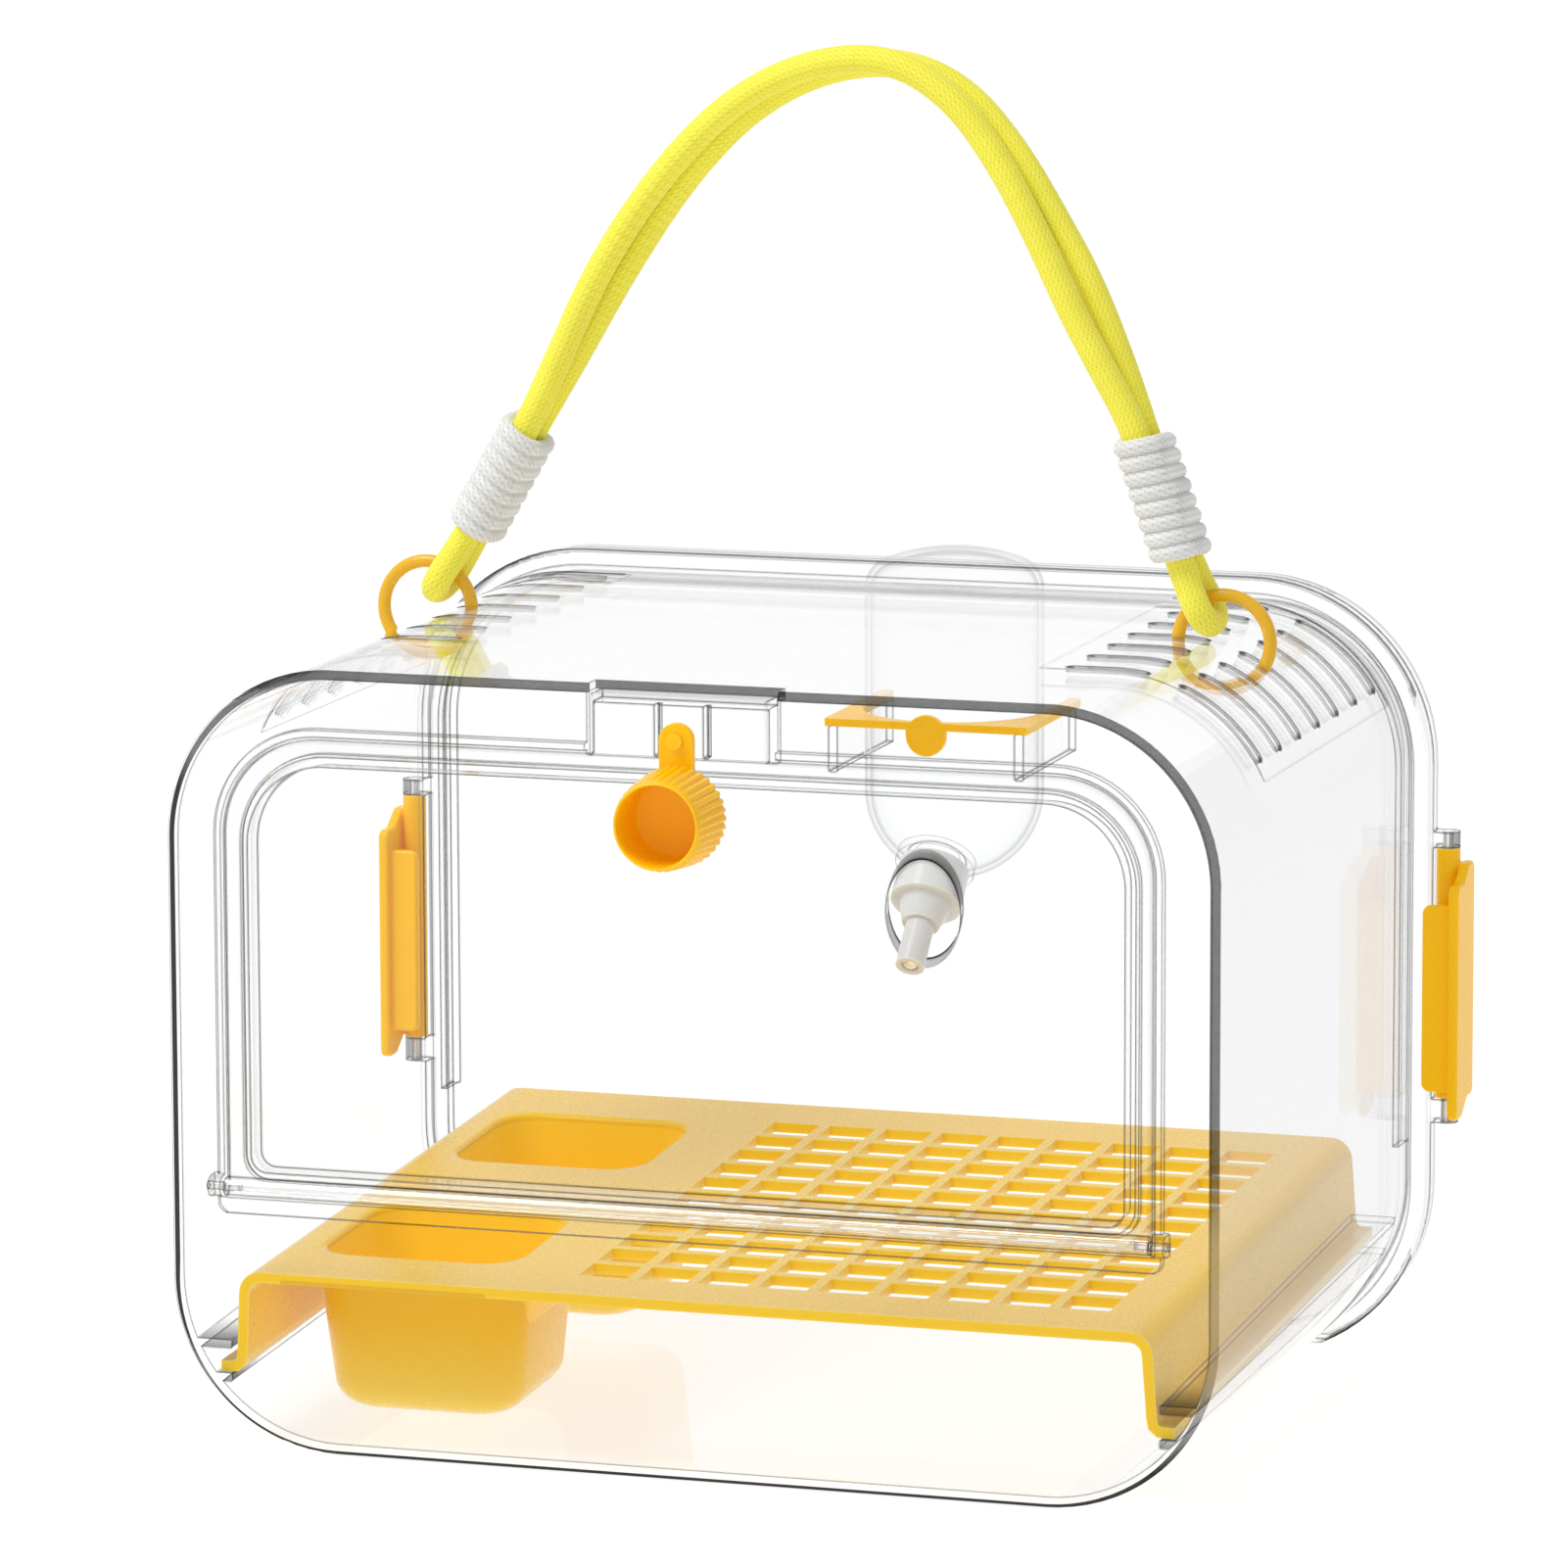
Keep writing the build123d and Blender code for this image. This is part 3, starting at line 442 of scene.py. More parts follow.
band_end = math_node(shell_lines, "MULTIPLY_ADD", left_share, left_band_growth, band_far)
band_end = math_node(shell_lines, "MULTIPLY_ADD", low_share, low_band_growth, band_end)
rim_band = product(shell_lines, front, above(shell_lines, skin_depth, band_start),
                   below(shell_lines, skin_depth, band_end),
                   largest(shell_lines, over_tray, dark_sides))
line_width, line_dark = 0.35 * mm, 0.7
outer_line = product(shell_lines, front, between(shell_lines, skin_depth, 0.0, line_width),
                     left_share, line_dark)

# Painted shade on the walls of the vent slots, lighter towards the left.
slots_front, slots_rear, slots_low = -95 * mm, 91 * mm, 150 * mm
slot_level = ramp_node(shell_lines, facing_front, [(0.24, 0.0), (0.28, 0.95), (0.85, 0.88),
                                                 (0.97, 0.60)])
slot_region = product(shell_lines, between(shell_lines, y, slots_front, slots_rear),
                      above(shell_lines, z, slots_low))
slots = product(shell_lines, slot_level, slot_region, in_skin,
                range_node(shell_lines, x, -95 * mm, 95 * mm, 0.55, 1.0))

# Painted shade on the front ends of the tray's rails, on the rear face of the notch for the
# door's tongue, and faintly on the right-hand side.
rails_low, rails_high, rails_inner = 15 * mm, 34 * mm, 112 * mm
rail_ends = product(shell_lines, range_node(shell_lines, y, -102 * mm, -80 * mm, 0.65, 0.0),
                    between(shell_lines, z, rails_low, rails_high),
                    above(shell_lines, off_centre, rails_inner),
                    above(shell_lines, skin_depth, edge_round),
                    below(shell_lines, facing_front, 0.5))
notch_front, notch_rear, notch_half_width = -99.5 * mm, -96 * mm, 27 * mm
notch = product(shell_lines, above(shell_lines, facing_front, 0.9),
                between(shell_lines, y, notch_front, notch_rear),
                between(shell_lines, x, -notch_half_width, notch_half_width), 0.8)
side_wall, side_shade = 128 * mm, 0.055
shaded_side = product(shell_lines, above(shell_lines, x, side_wall),
                      above(shell_lines, facing_side, 0.6), below(shell_lines, facing_front, 0.3),
                      side_shade)
shell_lines.links.new(largest(shell_lines, slots, rim_band, outer_line, rail_ends, notch,
                              shaded_side), shell_lines_out.inputs["Mask"])

# Edges show less round the sunken vent panels, least on the upper part of their border,
# and less inside the wall below the slots and where the rear flange passes the sides.
panel_front, panel_rear, panel_low, panel_inner = -50.5 * mm, 85.5 * mm, 173 * mm, 74.5 * mm
flat_front, flat_rear, flat_low, flat_inner = -47 * mm, 82 * mm, 179.6 * mm, 78.5 * mm
border_split, upper_border_loss, lower_border_gain = 181 * mm, 0.90, -0.34
flange_inner = 140.4 * mm
panel = product(shell_lines, between(shell_lines, y, panel_front, panel_rear),
                above(shell_lines, z, panel_low), above(shell_lines, off_centre, panel_inner))
panel_flat = product(shell_lines, between(shell_lines, y, flat_front, flat_rear),
                     above(shell_lines, z, flat_low), above(shell_lines, off_centre, flat_inner))
border = math_node(shell_lines, "SUBTRACT", panel, panel_flat)
border_loss = math_node(shell_lines, "MULTIPLY_ADD", below(shell_lines, z, border_split),
                        lower_border_gain, upper_border_loss)
under_skin = math_node(shell_lines, "SUBTRACT", 1.0, in_skin)
flange_side = above(shell_lines, off_centre, flange_inner)
edge_loss = largest(shell_lines, product(shell_lines, border, border_loss),
                    product(shell_lines, flange_side, 0.35), product(shell_lines, panel, under_skin, 0.85))
edges_left = math_node(shell_lines, "SUBTRACT", 1.0, edge_loss)
shell_lines.links.new(edges_left, shell_lines_out.inputs["Edges"])

# Bands are left off where the lines above stand in for them, and are faint on the sides
# of the rear flange and on the frame that carries the door.
door_frame_rear = -105.2 * mm
front_round = product(shell_lines, front, below(shell_lines, skin_depth, edge_round))
door_frame = below(shell_lines, y, door_frame_rear)
band_loss = largest(shell_lines, product(shell_lines, flange_side, 0.8),
                    product(shell_lines, door_frame, 0.6), front_round, slot_region)
bands_left = math_node(shell_lines, "SUBTRACT", 1.0, band_loss)
shell_lines.links.new(bands_left, shell_lines_out.inputs["Bands"])

# The painted reflection comes in with height, with distance from the front and towards the sides.
painted_reflection_level, painted_reflection_rear = 0.42, 86 * mm
painted_reflection = product(shell_lines, range_node(shell_lines, z, 165 * mm, 190 * mm, 0.0, painted_reflection_level),
               range_node(shell_lines, y, -75 * mm, -45 * mm), below(shell_lines, y, painted_reflection_rear),
               range_node(shell_lines, off_centre, 58 * mm, 94 * mm))
shell_lines.links.new(painted_reflection, shell_lines_out.inputs["Painted Reflection"])


# The door's knuckle and sill: a faint painted reflection stands for the light that runs along them.
knuckle_top, knuckle_reflection = 74 * mm, 0.10
hinge_lines, _, hinge_lines_out = new_group("hinge_lines", [], line_outputs)
low_part = below(hinge_lines, object_parts(hinge_lines, "Object")["Z"], knuckle_top)
hinge_lines.links.new(product(hinge_lines, low_part, knuckle_reflection), hinge_lines_out.inputs["Painted Reflection"])
for output, value in (("Mask", 0.0), ("Edges", 1.0), ("Bands", 1.0)):
    hinge_lines_out.inputs[output].default_value = value


def clear_material(name, edge_width, edge_dark, band_dark, rim_start, rim_dark, own_lines=None,
                   tint=(0.992, 0.993, 0.993)):
    """Thin clear plastic: seen straight through, with painted shade along edges and bands and
    where it is seen at a slant; a little of it mirrors the room, and more where its painted reflection
    lies."""
    made, tree, shader = new_material(name, {"Metallic": 1.0, "Roughness": 0.025,
                                             "Base Color": (1, 1, 1, 1)})
    nearness = use_group(tree, edges, {"Width": edge_width, "Gain": 6.0}).outputs["Mask"]
    banded = use_group(tree, turned, {"Strength": band_dark}).outputs["Mask"]
    facing = add_node(tree, "LayerWeight", {"Blend": 0.5}).outputs["Facing"]
    rim = add_node(tree, "MapRange", {0: facing, 1: rim_start, 2: 1.0, 3: 0.0, 4: rim_dark},
                   interpolation_type="SMOOTHSTEP").outputs[0]
    edge = math_node(tree, "MULTIPLY", nearness, edge_dark)
    if own_lines:
        lines = use_group(tree, own_lines, {}).outputs
        edge = largest(tree, math_node(tree, "MULTIPLY", edge, lines["Edges"]), lines["Mask"])
        banded = math_node(tree, "MULTIPLY", banded, lines["Bands"])
    # A little painted shade where the pane is seen at a slant.
    slant_shade = range_node(tree, facing, 0.3, 0.7, 0.0, 0.022)
    dark = math_node(tree, "ADD", largest(tree, edge, banded, rim), slant_shade, clamp=True)
    through = colour_mix(tree, dark, (*tint, 1), (0.02, 0.022, 0.025, 1))
    pane = add_node(tree, "BsdfTransparent", {"Color": through})
    grazing = math_node(tree, "POWER", facing, 12.0)
    share = math_node(tree, "MULTIPLY_ADD", grazing, 3.0, 0.002, clamp=True)
    if own_lines:
        light_left = math_node(tree, "SUBTRACT", 1.0, dark, clamp=True)
        share = largest(tree, share, math_node(tree, "MULTIPLY", lines["Painted Reflection"], light_left))
    mix = add_node(tree, "MixShader", {0: share, 1: pane.outputs[0], 2: shader.outputs[0]})
    tree.links.new(mix.outputs[0], tree.nodes["Material Output"].inputs["Surface"])
    return made


finish_nodes(("main_shell",), clear_material(
    "shell_plastic", edge_width=1.0 * mm, edge_dark=0.80, band_dark=0.9, rim_start=0.90,
    rim_dark=0.8, own_lines=shell_lines))
finish_nodes(("rear_cover",), clear_material(
    "cover_plastic", edge_width=1.25 * mm, edge_dark=1.0, band_dark=0.65, rim_start=0.90,
    rim_dark=0.8))
finish_nodes(("front_door", "door_hinge_pin_left", "door_hinge_pin_right"), clear_material(
    "door_plastic", edge_width=1.2 * mm, edge_dark=1.0, band_dark=0.18, rim_start=0.90,
    rim_dark=0.35, own_lines=hinge_lines))


# ---- Clips, rings and door pull ----
# Amber polypropylene. The side clips snap over the flanges on steel pins, a split
# ring goes through two slots of each shoulder, and the pull hangs on the door's pin.

# A moulded surface: faint flow streaks, a painted highlight along its edges and a fine satin grain.
moulded, moulded_in, moulded_out = new_group(
    "moulded_surface",
    [("Color", "Color", (1, 1, 1, 1)), ("Edge", "Color", (1, 1, 1, 1)),
     ("Edge Width", "Float", 1.0 * mm)],
    [("Color", "Color"), ("Roughness", "Float"), ("Height", "Float")])
place = add_node(moulded, "TexCoord").outputs["Object"]
flow = add_node(moulded, "TexNoise", {"Vector": place, "Scale": 22.0, "Detail": 3.0}).outputs[0]
spark = add_node(moulded, "TexNoise", {"Vector": place, "Scale": 1700.0, "Detail": 2.0}).outputs[0]
nearness = add_node(moulded, "Group", node_tree=edges)
moulded.links.new(moulded_in["Edge Width"], nearness.inputs["Width"])
# The paler colour near the edges is a painted highlight.
edge_highlight_share = math_node(moulded, "MULTIPLY", nearness.outputs["Mask"], 0.8)
lit_colour = colour_mix(moulded, edge_highlight_share, moulded_in["Color"], moulded_in["Edge"])
streak = range_node(moulded, flow, 0.0, 1.0, 0.965, 1.035)
streaked = add_node(moulded, "VectorMath", {0: lit_colour}, operation="SCALE")
moulded.links.new(streak, streaked.inputs["Scale"])
moulded.links.new(streaked.outputs[0], moulded_out.inputs["Color"])
polish = range_node(moulded, spark, 0.0, 1.0, 0.20, 0.34)
moulded.links.new(polish, moulded_out.inputs["Roughness"])
grain = math_node(moulded, "MULTIPLY_ADD", flow, 0.4, spark)
moulded.links.new(grain, moulded_out.inputs["Height"])


def moulded_material(name, colour, edge_highlight_colour, edge_width, glow, radius, specular, sheen=0.0):
    """Satin moulded plastic that glows a little where it is thin, with a faint painted glow all over from
    an emission in its own colour.
    """
    made, tree, shader = new_material(name, {
        "Subsurface Weight": glow, "Subsurface Scale": 4 * mm, "Subsurface Radius": radius,
        "Specular IOR Level": specular, "Sheen Weight": sheen, "Sheen Roughness": 0.3, "IOR": 1.4,
        # The emission is a painted glow.
        "Emission Color": (*colour, 1), "Emission Strength": 0.03})
    surface = use_group(tree, moulded, {"Color": (*colour, 1), "Edge": (*edge_highlight_colour, 1),
                                        "Edge Width": edge_width})
    relief = add_node(tree, "Bump", {"Height": surface.outputs["Height"], "Strength": 0.10,
                                     "Distance": 0.05 * mm})
    tree.links.new(surface.outputs["Color"], shader.inputs["Base Color"])
    tree.links.new(surface.outputs["Roughness"], shader.inputs["Roughness"])
    tree.links.new(relief.outputs[0], shader.inputs["Normal"])
    return made


amber = moulded_material("amber_plastic", colour=(1.0, 0.555, 0.003),
                         edge_highlight_colour=(1.0, 0.78, 0.12), edge_width=0.8 * mm, glow=0.12,
                         radius=(1.0, 0.42, 0.02), specular=0.25)
finish_nodes(("clip_left", "clip_right", "pull_pivot_pin", "bottle_cradle"), amber)
ring_amber = moulded_material("ring_amber", colour=(0.80, 0.44, 0.010),
                              edge_highlight_colour=(0.92, 0.60, 0.05), edge_width=0.6 * mm, glow=0.05,
                              radius=(1.0, 0.42, 0.05), specular=0.6)
finish_nodes(("ring_left", "ring_right"), ring_amber)

steel, _, _ = new_material("pin_steel", {"Base Color": (0.97, 0.97, 0.98, 1), "Metallic": 1.0,
                                         "Roughness": 0.30})
finish_nodes(("clip_pin_left", "clip_pin_right", "spout_ball"), steel)

# The pull in millimetres: a ribbed cup spun round its own line, with a tab up to the pin.
cup_middle = 173.0
cup_back, cup_mouth = -108.0, -126.5
cup_back_radius, cup_taper = 12.3, 1.0
wall_stations, wall_start, wall_length = 9, 1.0, 16.6
cup_rib_count, cup_turn_steps = 36, 216
rib_height, rib_growth, rib_base_radius = 0.50, 0.30, 11.2
rib_mouth_gap, rib_back_gap, rib_mouth_fade, rib_back_fade = 1.2, 0.3, 1.6, 0.7
pull_pin_height = 192.2
tab_half_width, tab_thickness, tab_foot, tab_round = 4.5, 2.2, -9.6, 0.55

pull_builder = bmesh.new()
cup_profile = [(0.0, cup_back), (11.6, cup_back), (12.05, cup_back - 0.15), (12.25, cup_back - 0.5)]
for station in range(wall_stations):
    share = station / (wall_stations - 1)
    cup_profile.append((cup_back_radius - cup_taper * share,
                        cup_back - wall_start - wall_length * share))
cup_profile += [(11.28, -126.0), (11.12, -126.35), (10.85, cup_mouth), (10.58, -126.38),
                (10.42, -126.0), (10.5, -122.0), (10.62, -114.0), (10.5, -112.6),
                (10.05, -111.75), (9.2, -111.4), (0.0, -111.4)]
points = [pull_builder.verts.new((reach, place_y, cup_middle)) for reach, place_y in cup_profile]
strips = [pull_builder.edges.new(pair) for pair in zip(points, points[1:])]
bmesh.ops.spin(pull_builder, geom=points + strips, cent=(0, 0, cup_middle), axis=(0, 1, 0),
               dvec=(0, 0, 0), angle=2 * pi, steps=cup_turn_steps, use_merge=True,
               use_duplicate=False)
bmesh.ops.remove_doubles(pull_builder, verts=pull_builder.verts, dist=0.0005)
for vertex in pull_builder.verts:
    spoke = Vector((vertex.co.x, 0, vertex.co.z - cup_middle))
    mouth_room = vertex.co.y - cup_mouth - rib_mouth_gap
    back_room = cup_back - rib_back_gap - vertex.co.y
    if spoke.length > rib_base_radius and mouth_room > 0 and back_room > 0:
        from_mouth = (vertex.co.y - cup_mouth) / (cup_back - cup_mouth)
        turn = spoke.angle(Vector((1, 0, 0)))
        rib = abs(cos(cup_rib_count / 2 * turn)) * (rib_height + rib_growth * from_mouth)
        run_out = min(1.0, mouth_room / rib_mouth_fade, back_room / rib_back_fade)
        vertex.co += spoke.normalized() * rib * run_out
cup_faces = set(pull_builder.faces)

tab = bmesh.ops.create_circle(pull_builder, cap_ends=True, segments=40,
                              radius=tab_half_width)["verts"]
bmesh.ops.rotate(pull_builder, verts=tab, cent=(0, 0, 0), matrix=Matrix.Rotation(pi / 2, 3, "X"))
for vertex in tab:
    if vertex.co.z < -0.01:
        vertex.co.z = tab_foot
bmesh.ops.translate(pull_builder, verts=tab, vec=(0, cup_back, pull_pin_height))
tab_face = [face for face in pull_builder.faces if face not in cup_faces]
tab_front = bmesh.ops.extrude_face_region(pull_builder, geom=tab_face)["geom"]
front_corners = [item for item in tab_front if isinstance(item, bmesh.types.BMVert)]
bmesh.ops.translate(pull_builder, verts=front_corners, vec=(0, -tab_thickness, 0))
rim = [edge for edge in pull_builder.edges
       if edge.verts[0] in front_corners and edge.verts[1] in front_corners]
bmesh.ops.bevel(pull_builder, geom=rim, offset=tab_round, segments=3, profile=0.5,
                affect="EDGES", material=-1, clamp_overlap=True)
bmesh.ops.recalc_face_normals(pull_builder, faces=pull_builder.faces)
bmesh.ops.scale(pull_builder, verts=pull_builder.verts, vec=(mm, mm, mm))
for face in pull_builder.faces:
    face.smooth = True
for edge in pull_builder.edges:
    edge.smooth = len(edge.link_faces) != 2 or edge.calc_face_angle(0) < radians(40)
door_pull = place_object("door_pull_cup", pull_builder)
door_pull.data.materials.append(moulded_material(
    "pull_plastic", colour=(1.0, 0.545, 0.002), edge_highlight_colour=(1.0, 0.84, 0.24),
    edge_width=0.4 * mm, glow=0.12, radius=(1.0, 0.42, 0.02), specular=0.25))
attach(door_pull, "pull")
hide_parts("door_pull")


# ---- Tray ----
# One polypropylene moulding that stands on the shell's ledges and rises a little
# to the rear: a slatted deck, a skirt with a toe along each side, and two food cups.
deck_top, deck_front, deck_rear = 46.5, -101.1, 101.1
deck_flat, deck_turn = 116.5, 6.0
plain_deck_x = 112
tray_thickness = 2.8
grid_left, grid_front = -37.0, -85.0
grid_columns, grid_rows = 9, 11
grid_pitch_x, grid_pitch_y, grid_bar = 16.1, 15.2, 2.8
cup_x, cup_places = -83.0, (-52.0, 48.0)
cup_half_x, cup_half_y, cup_corner, cup_rim = 27.0, 26.0, 11.0, 1.6
cup_floor, cup_base_radius, cup_draft = 6.0, 5.6, 3.45
cup_corner_taper, cup_least_corner = 0.6, 3.0
cup_margin, cup_light_top = 2.0, 44.8
tray_pivot, tray_slope = (0, -102.6, 19.2), 2.7


def hole_lines(start, pitch, count):
    """The two sides of every hole along one row of the grid."""
    return [start + index * pitch + edge for index in range(count)
            for edge in (grid_bar / 2, pitch - grid_bar / 2)]


def in_hole(place, start, pitch, count):
    """Whether a place along a row lies in one of its holes."""
    cell, rest = divmod(place - start, pitch)
    return 0 <= cell < count and grid_bar / 2 < rest < pitch - grid_bar / 2


def in_cup_square(place):
    """Whether a place of the deck lies in the square cut out for a cup."""
    return (abs(place.x - cup_x) < cup_half_x + cup_margin
            and min(abs(place.y - middle) for middle in cup_places) < cup_half_y + cup_margin)


def rounded_loop(builder, middle_y, inset, height):
    """A rounded rectangle of edges, from a circle whose quarters are moved apart."""
    corner = max(cup_corner - inset * cup_corner_taper, cup_least_corner)
    segments = 48
    loop = bmesh.ops.create_circle(builder, segments=segments, radius=corner)["verts"]
    bmesh.ops.rotate(builder, verts=loop, cent=(0, 0, 0),
                     matrix=Matrix.Rotation(pi / segments, 3, "Z"))
    shift_x = cup_half_x - inset - corner
    shift_y = cup_half_y - inset - corner
    for vertex in loop:
        vertex.co.x += shift_x if vertex.co.x > 0 else -shift_x
        vertex.co.y += shift_y if vertex.co.y > 0 else -shift_y
    bmesh.ops.translate(builder, verts=loop, vec=(cup_x, middle_y, height))
    return list({edge for vertex in loop for edge in vertex.link_edges})


tray_builder = bmesh.new()
x_lines = sorted([-deck_flat, deck_flat, cup_x - cup_half_x - cup_margin,
                  cup_x + cup_half_x + cup_margin]
                 + hole_lines(grid_left, grid_pitch_x, grid_columns))
y_lines = sorted([deck_front, deck_rear] + hole_lines(grid_front, grid_pitch_y, grid_rows)
                 + [middle + side * (cup_half_y + cup_margin) for middle in cup_places
                    for side in (-1, 1)])
bmesh.ops.create_grid(tray_builder, x_segments=len(x_lines) - 1, y_segments=len(y_lines) - 1,
                      size=1.0)
for vertex in tray_builder.verts:
    column = round((vertex.co.x + 1) / 2 * (len(x_lines) - 1))
    row = round((vertex.co.y + 1) / 2 * (len(y_lines) - 1))
    vertex.co = (x_lines[column], y_lines[row], deck_top)
openings = []
for face in tray_builder.faces:
    middle = face.calc_center_median()
    slat_gap = (in_hole(middle.x, grid_left, grid_pitch_x, grid_columns)
                and in_hole(middle.y, grid_front, grid_pitch_y, grid_rows))
    if slat_gap or in_cup_square(middle):
        openings.append(face)
bmesh.ops.delete(tray_builder, geom=openings, context="FACES")

for middle_y in cup_places:
    square = [edge for edge in tray_builder.edges if edge.is_boundary
              and all(abs(vertex.co.x - cup_x) < cup_half_x + cup_margin + 0.1
                      and abs(vertex.co.y - middle_y) < cup_half_y + cup_margin + 0.1
                      for vertex in edge.verts)]
    levels = [(-cup_rim + cup_rim * sin(pi / 2 * step / 4),
               deck_top - cup_rim + cup_rim * cos(pi / 2 * step / 4)) for step in range(5)]
    levels += [(cup_draft + cup_base_radius * (1 - cos(pi / 2 * step / 6)),
                cup_floor + cup_base_radius * (1 - sin(pi / 2 * step / 6))) for step in range(7)]
    loops = [rounded_loop(tray_builder, middle_y, inset, height) for inset, height in levels]
    bmesh.ops.triangle_fill(tray_builder, edges=square + loops[0], use_beauty=True,
                            use_dissolve=False, normal=(0, 0, 1))
    for upper, lower in zip(loops, loops[1:]):
        bmesh.ops.bridge_loops(tray_builder, edges=upper + lower)
    bmesh.ops.edgeloop_fill(tray_builder, edges=loops[-1])

skirt_line = [(deck_flat + deck_turn * sin(pi / 2 * step / 6),
               deck_top - deck_turn + deck_turn * cos(pi / 2 * step / 6)) for step in range(1, 7)]
skirt_line += [(123.45, 24.4), (123.75, 22.9), (124.5, 22.25), (125.4, 22.2), (128.0, 22.2)]
for side in (-1, 1):
    border = [edge for edge in tray_builder.edges
              if all(abs(vertex.co.x - side * deck_flat) < 0.01 for vertex in edge.verts)
              and edge.is_boundary]
    for reach, height in skirt_line:
        grown = bmesh.ops.extrude_edge_only(tray_builder, edges=border)["geom"]
        for item in grown:
            if isinstance(item, bmesh.types.BMVert):
                item.co.x, item.co.z = side * reach, height
        border = [item for item in grown if isinstance(item, bmesh.types.BMEdge)
                  and all(abs(vertex.co.z - height) < 1e-4 for vertex in item.verts)]
bmesh.ops.recalc_face_normals(tray_builder, faces=tray_builder.faces)
deck_face = min(tray_builder.faces,
                key=lambda face: abs(face.calc_center_median().x - plain_deck_x))
if deck_face.normal.z < 0:
    bmesh.ops.reverse_faces(tray_builder, faces=tray_builder.faces)
bmesh.ops.rotate(tray_builder, verts=tray_builder.verts, cent=tray_pivot,
                 matrix=Matrix.Rotation(radians(tray_slope), 3, "X"))
bmesh.ops.scale(tray_builder, verts=tray_builder.verts, vec=(mm, mm, mm))
for face in tray_builder.faces:
    face.smooth = True
tray = place_object("tray", tray_builder)
tray_wall = tray.modifiers.new("wall", "SOLIDIFY")
tray_wall.thickness = tray_thickness * mm
tray_wall.offset = -1.0
tray_wall.use_even_offset = True
tray_softening = tray.modifiers.new("softening", "BEVEL")
tray_softening.width = 0.9 * mm
tray_softening.segments = 3
tray_softening.limit_method = "ANGLE"
tray_softening.angle_limit = radians(40)
tray_softening.harden_normals = True

# Light gathers in the cups: a glow inside, paler low down, darker high up on the outside.
cup_light, _, cup_light_out = new_group(
    "cup_light", [], [("Inside", "Float"), ("Pale", "Float"), ("Shade", "Float")])
x, y, z = object_parts(cup_light, "Object")
normal_x, normal_y, _ = object_parts(cup_light, "Normal")
from_cup_x = math_node(cup_light, "SUBTRACT", x, cup_x * mm)
from_middle = math_node(cup_light, "SUBTRACT", y, sum(cup_places) / 2 * mm)
half_spacing = (cup_places[1] - cup_places[0]) / 2 * mm
from_cup_y = math_node(cup_light, "SUBTRACT", from_middle,
                       math_node(cup_light, "MULTIPLY", math_node(cup_light, "SIGN", from_middle),
                                 half_spacing))
outward = math_node(cup_light, "ADD", product(cup_light, from_cup_x, normal_x),
                    product(cup_light, from_cup_y, normal_y))
slope_rise = math_node(cup_light, "MULTIPLY_ADD", y, radians(tray_slope),
                       -tray_pivot[1] * mm * radians(tray_slope))
height = math_node(cup_light, "SUBTRACT", z, slope_rise)
in_cups = product(cup_light, below(cup_light, height, cup_light_top * mm),
                  between(cup_light, from_cup_x, -(cup_half_x + 1) * mm, (cup_half_x + 1) * mm))
inside = product(cup_light, in_cups, below(cup_light, outward, 0.0))
outside = product(cup_light, in_cups, above(cup_light, outward, 0.0))
low_down = range_node(cup_light, height, 8 * mm, 28 * mm, 0.62, 0.0)
high_up = range_node(cup_light, height, 10 * mm, 40 * mm, 0.12, 0.52)

cup_light.links.new(inside, cup_light_out.inputs["Inside"])
cup_light.links.new(product(cup_light, outside, low_down), cup_light_out.inputs["Pale"])
cup_light.links.new(product(cup_light, outside, high_up), cup_light_out.inputs["Shade"])

tray_plastic = moulded_material("tray_plastic", colour=(0.93, 0.590, 0.022),
                                edge_highlight_colour=(0.95, 0.73, 0.16), edge_width=0.9 * mm, glow=0.2,
                                radius=(1.0, 0.5, 0.04), specular=0.3, sheen=0.9)
tree = tray_plastic.node_tree
shader = tree.nodes["Principled BSDF"]
base_colour = shader.inputs["Base Color"]
gathered = use_group(tree, cup_light, {}).outputs
pale_colour, shade_colour = (0.97, 0.73, 0.17, 1), (0.62, 0.33, 0.008, 1)
plain_glow, cup_glow = (0.138, 0.083, 0.003, 1), (0.62, 0.50, 0.05, 1)
# Painted light and shade on the cups' outside: paler low down, darker high up.
paler = colour_mix(tree, gathered["Pale"], base_colour.links[0].from_socket, pale_colour)
tree.links.new(colour_mix(tree, gathered["Shade"], paler, shade_colour), base_colour)
# A painted glow: the tray's emission, stronger inside the cups.
shader.inputs["Emission Strength"].default_value = 0.2
tree.links.new(colour_mix(tree, gathered["Inside"], plain_glow, cup_glow),
               shader.inputs["Emission Color"])
tray.data.materials.append(tray_plastic)
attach(tray, "shell")
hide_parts("tray_deck", "tray_grid", "tray_skirt_right", "tray_skirt_left",
            "food_cup_front", "food_cup_rear")


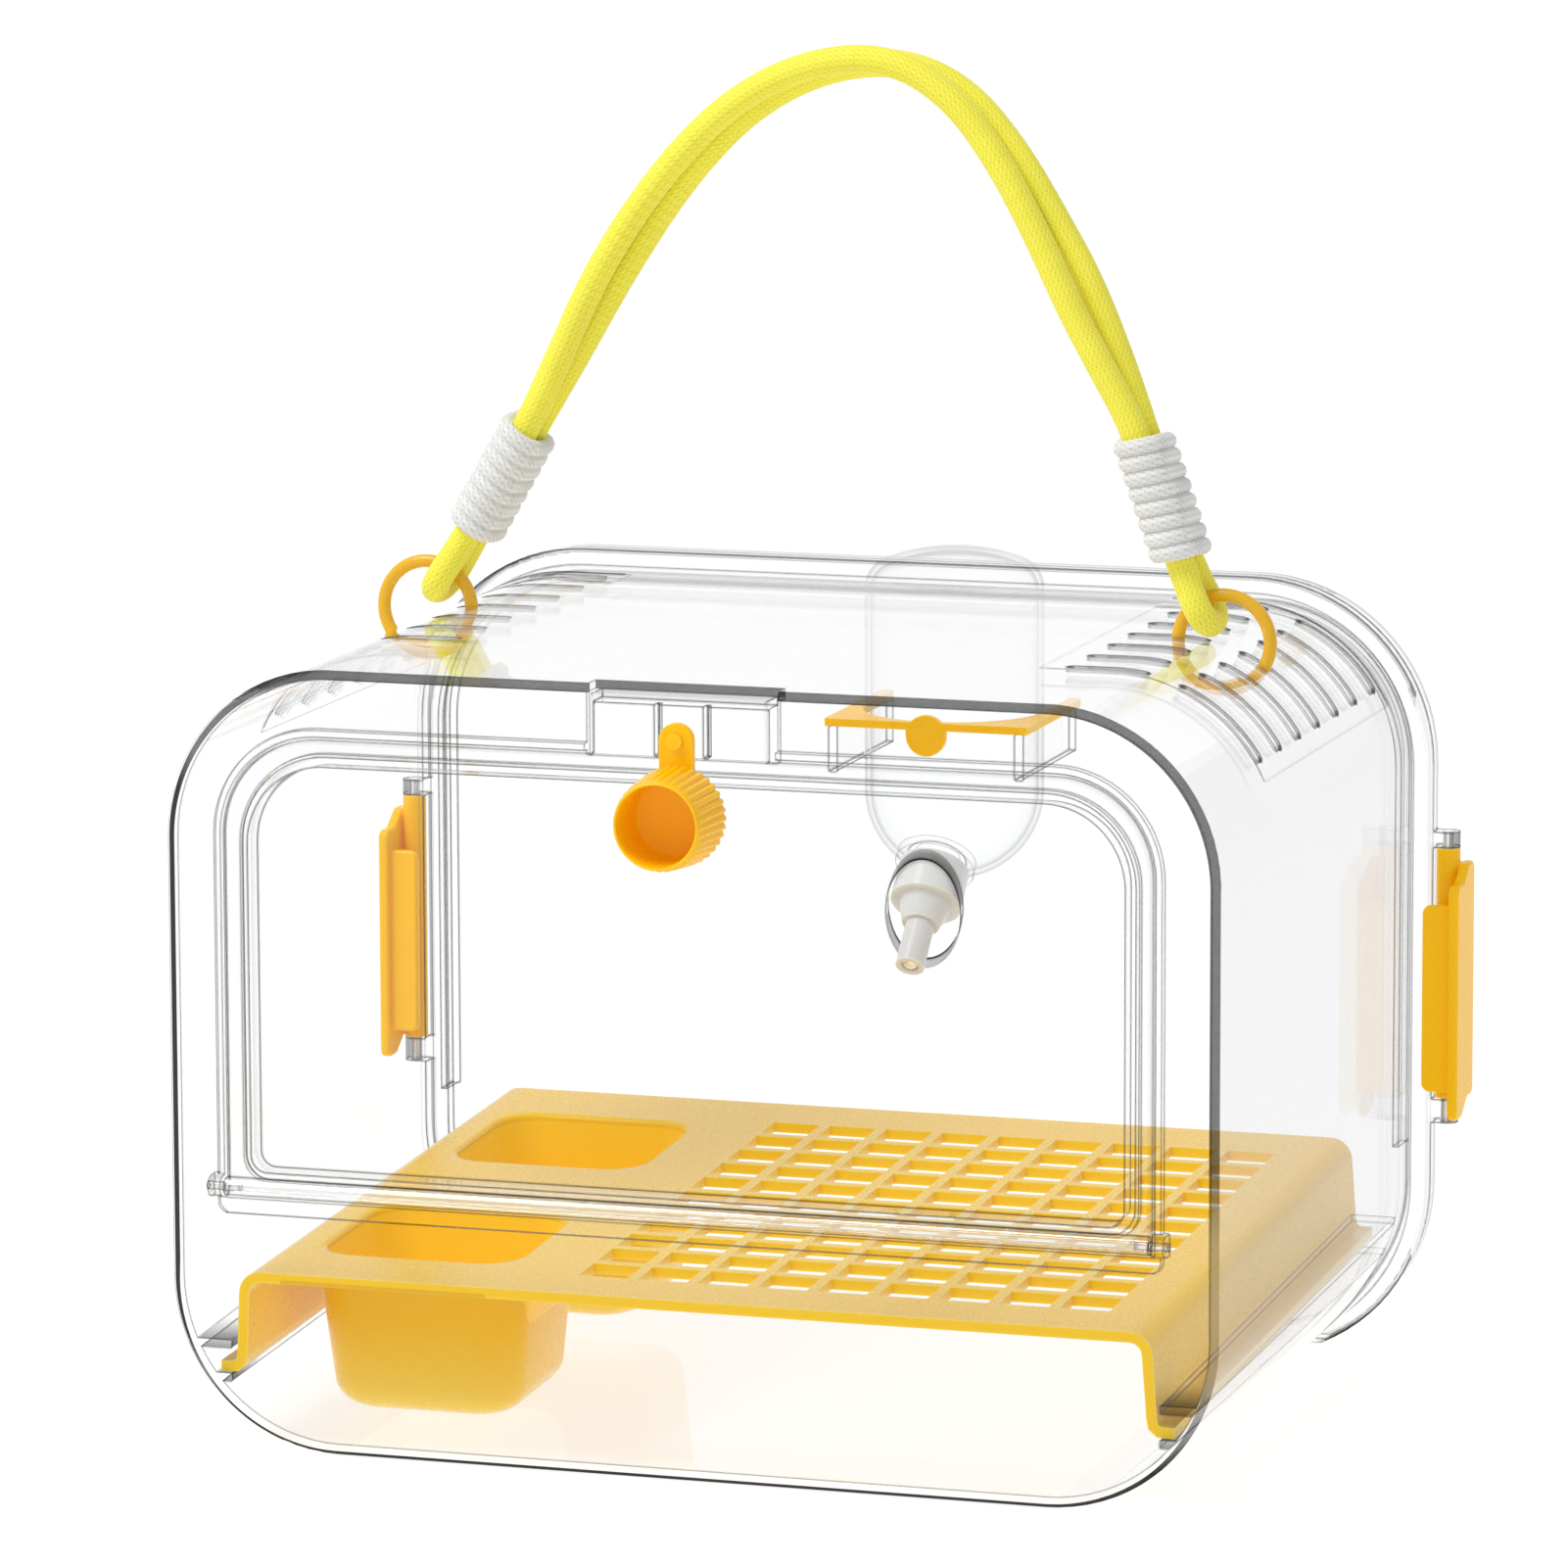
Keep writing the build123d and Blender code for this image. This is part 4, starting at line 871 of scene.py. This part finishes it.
# ---- Water bottle ----
# A blown clear bottle in the cover's fork, with a frosted screw cap, a soft seal
# and a drinking spout that is closed by a steel ball.
bottle_clear = clear_material("bottle_clear", edge_width=0.8 * mm, edge_dark=0.40, band_dark=0.0,
                              rim_start=0.60, rim_dark=0.36, tint=(0.992, 0.994, 0.994))
finish_nodes(("bottle_body",), bottle_clear)
cap_plastic = moulded_material("cap_plastic", colour=(0.74, 0.76, 0.78),
                               edge_highlight_colour=(0.90, 0.91, 0.92), edge_width=0.8 * mm, glow=0.35,
                               radius=(0.8, 0.9, 1.0), specular=0.5)
finish_nodes(("bottle_cap", "spout_tube"), cap_plastic)
seal, _, _ = new_material("seal_rubber", {"Base Color": (0.8, 0.8, 0.8, 1), "Roughness": 0.6})
finish_nodes(("bottle_seal",), seal)


# ---- Room ----
# A wide pale floor that glows by itself, a white room round it, and one large soft
# lamp. The room is seen pure white but lights the carrier with less than that.
floor_glow, floor_paint = 0.86, 0.25
room_seen, room_light = 1.0, 0.56
floor_builder = bmesh.new()
bmesh.ops.create_circle(floor_builder, cap_ends=True, segments=64, radius=6.0)
floor = place_object("floor", floor_builder)
floor_material = bpy.data.materials.new("pale_floor")
floor_material.use_nodes = True
tree = floor_material.node_tree
tree.nodes.clear()
glow = add_node(tree, "Emission", {"Strength": floor_glow})
paint = add_node(tree, "BsdfDiffuse", {"Color": (floor_paint, floor_paint, floor_paint, 1)})
both = add_node(tree, "AddShader", {0: glow.outputs[0], 1: paint.outputs[0]})
add_node(tree, "OutputMaterial", {"Surface": both.outputs[0]})
floor.data.materials.append(floor_material)

world = bpy.data.worlds.new("studio")
bpy.context.scene.world = world
world.use_nodes = True
tree = world.node_tree
path = add_node(tree, "LightPath")
seen = largest(tree, path.outputs["Is Camera Ray"], path.outputs["Is Transmission Ray"],
               path.outputs["Is Glossy Ray"])
level = range_node(tree, seen, 0.0, 1.0, room_light, room_seen)
tree.links.new(level, tree.nodes["Background"].inputs["Strength"])
tree.nodes["Background"].inputs["Color"].default_value = (1, 1, 1, 1)

key_data = bpy.data.lights.new("key", "AREA")
key_data.energy = 30.0
key_data.size = 1.0
key = bpy.data.objects.new("key", key_data)
key.location = (-0.9, -0.8, 2.1)
key.rotation_euler = (Vector((0, 0, 0.1)) - key.location).to_track_quat("-Z", "Y").to_euler()
bpy.context.scene.collection.objects.link(key)

bpy.context.scene.cycles.transparent_max_bounces = 64
bpy.context.scene.view_settings.view_transform = "Standard"
bpy.context.view_layer.update()
